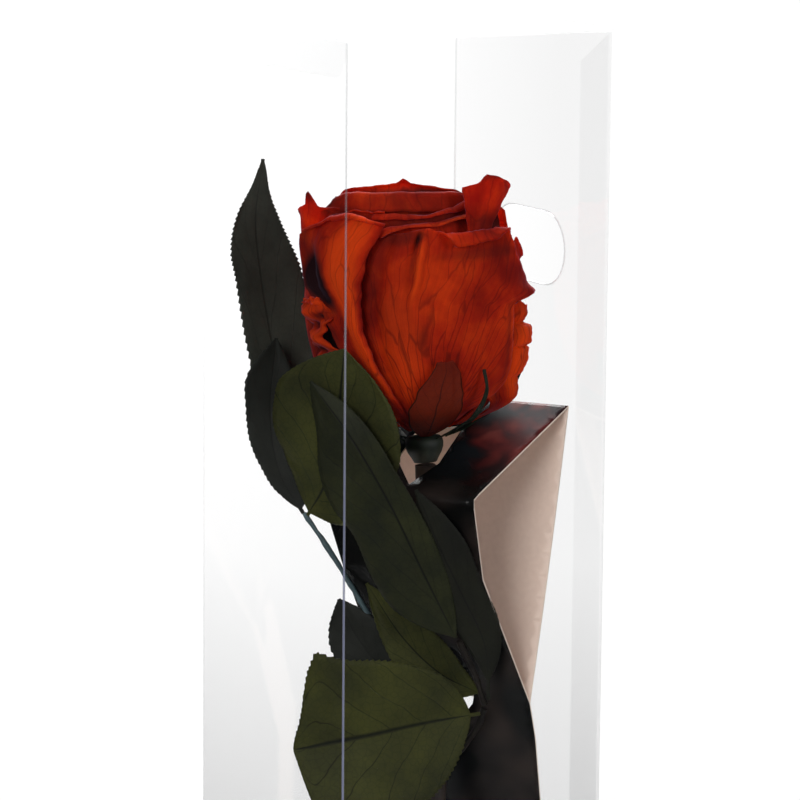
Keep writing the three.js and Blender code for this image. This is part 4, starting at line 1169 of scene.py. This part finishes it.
for sepalName, sepal in sepals.items():
    tall, wide = sepal["height"], sepal["width"]
    out = [readTable(head["profile"], h) + sepal["reach"] + sepal["bulge"] * math.sin(math.pi * h / tall)
           for h in (2, tall * 0.35, tall * 0.7, tall)]
    blade = {
        "midrib": [(5.9, 0, -1.2), (out[0], 0, 1.2), (out[1], 0, tall * 0.35 - 0.8), (out[2], 0, tall * 0.7),
                   (out[3], 0, tall)],
        "left": (wide * 0.8, wide, wide * 0.6), "right": (wide * 0.8, wide, wide * 0.6),
        "face": [(0.4, 0, -1), (1, 0, -0.2)], "fold": 0, "thick": 0.35,
    }
    turned = displayToFrame @ headToDisplay @ Matrix.Rotation(math.radians(sepal["turn"]), 4, "Z")
    makeBladePiece(sepalName + "_blade", sepalName, blade, sepalGreen, turned)


# ---- stem, stalks and hip
stalks = {
    "stem": {"points": [(6.7, -8.9, 201.6), (8.3, -10, 170), (10.2, -12.4, 137), (10, -13, 105),
                        (7.5, -14, 60), (6, -14.5, 9)], "radius": 2.9, "skin": bark},
    "stalk_upper": {"points": [(8.2, -16, 132), (6, -18, 139), (0, -17.5, 150), (-9, -16.5, 163),
                               (-19, -14.5, 179), (-26, -12.2, 188.8)], "radius": 0.7, "skin": stalkSkin},
    "stalk_middle": {"points": [(23, -20.8, 138.6), (20, -24.5, 148), (15.8, -28.4, 157.6)],
                     "radius": 0.8, "skin": stalkDark},
    "stalk_lower": {"points": [(13.4, -15.2, 119.8), (17, -16.6, 125), (20.8, -18.6, 131), (23, -20, 137)],
                    "radius": 0.9, "skin": stalkDark},
}
tubeForm = {"steps": 60, "sides": 20, "uneven": 0.22}  # the last is in patches to the millimetre
hip = {"profile": [(1.6, -7.8), (3, -7.7), (3.3, -7.2), (3.6, -6.6), (4.6, -5), (5.1, -3.6), (5.2, -2.4),
                   (5, -1.4), (4.4, -0.6), (3, -0.35)], "low": -7.8, "high": -0.3, "sides": 32}


def makeTubeTree():
    # a slightly uneven round tube along a curve, with its ends closed
    tree, add = newTree("tube along path", "Path", "Radius", "Tube")
    start = add("NodeGroupInput")
    line = add("GeometryNodeMeshToCurve", {0: (start, "Path")})
    ring = add("GeometryNodeCurvePrimitiveCircle", {"Resolution": tubeForm["sides"],
                                                    "Radius": (start, "Radius")})
    tube = add("GeometryNodeCurveToMesh", {"Curve": line, "Profile Curve": ring, "Fill Caps": True})
    grain = add("ShaderNodeTexNoise", {"Scale": tubeForm["uneven"], "Detail": 2.0})
    swell = add("ShaderNodeMath", {0: grain, 1: 0.5}, operation="SUBTRACT")
    push = add("ShaderNodeVectorMath", {0: add("GeometryNodeInputNormal"), "Scale": swell}, operation="SCALE")
    rough = add("GeometryNodeSetPosition", {"Geometry": tube, "Offset": push})
    real = add("GeometryNodeRealizeInstances", {0: rough})
    skinned = add("GeometryNodeSetMaterial", {"Geometry": real, "Material": (start, "Skin")})
    add("NodeGroupOutput", {0: skinned})
    return tree


def makeHip():
    # the profile turned round the head's axis and closed at both ends
    sides, rings = hip["sides"], len(hip["profile"])
    turns = [2 * math.pi * k / sides for k in range(sides)]
    points = [(r * math.cos(a), r * math.sin(a), z) for r, z in hip["profile"] for a in turns]
    points = [(0, 0, hip["low"])] + points + [(0, 0, hip["high"])]
    top = 1 + (rings - 1) * sides
    faces = [(0, 1 + (k + 1) % sides, 1 + k) for k in range(sides)]
    for base in range(1, top, sides):
        faces += [(base + k, base + (k + 1) % sides, base + sides + (k + 1) % sides, base + sides + k)
                  for k in range(sides)]
    faces += [(top + k, top + (k + 1) % sides, len(points) - 1) for k in range(sides)]
    finishPiece("receptacle_hip", makeMesh("receptacle_hip", points, faces), [hipSkin], "receptacle",
                matrix=displayToFrame @ headToDisplay)


tubeTree = makeTubeTree()
for stalkName, stalk in stalks.items():
    path, steps = [Vector(p) for p in stalk["points"]], tubeForm["steps"]
    line, along = bpy.data.meshes.new("line"), [curvePoint(path, k / steps) for k in range(steps + 1)]
    line.from_pydata(along, [(k, k + 1) for k in range(steps)], [])
    tube = runTree(line, tubeTree, {"Radius": stalk["radius"], "Skin": stalk["skin"]})
    finishPiece(stalkName + "_bark", tube, [stalk["skin"]], stalkName)
makeHip()
print("stage: sepals, stem, stalks and hip")
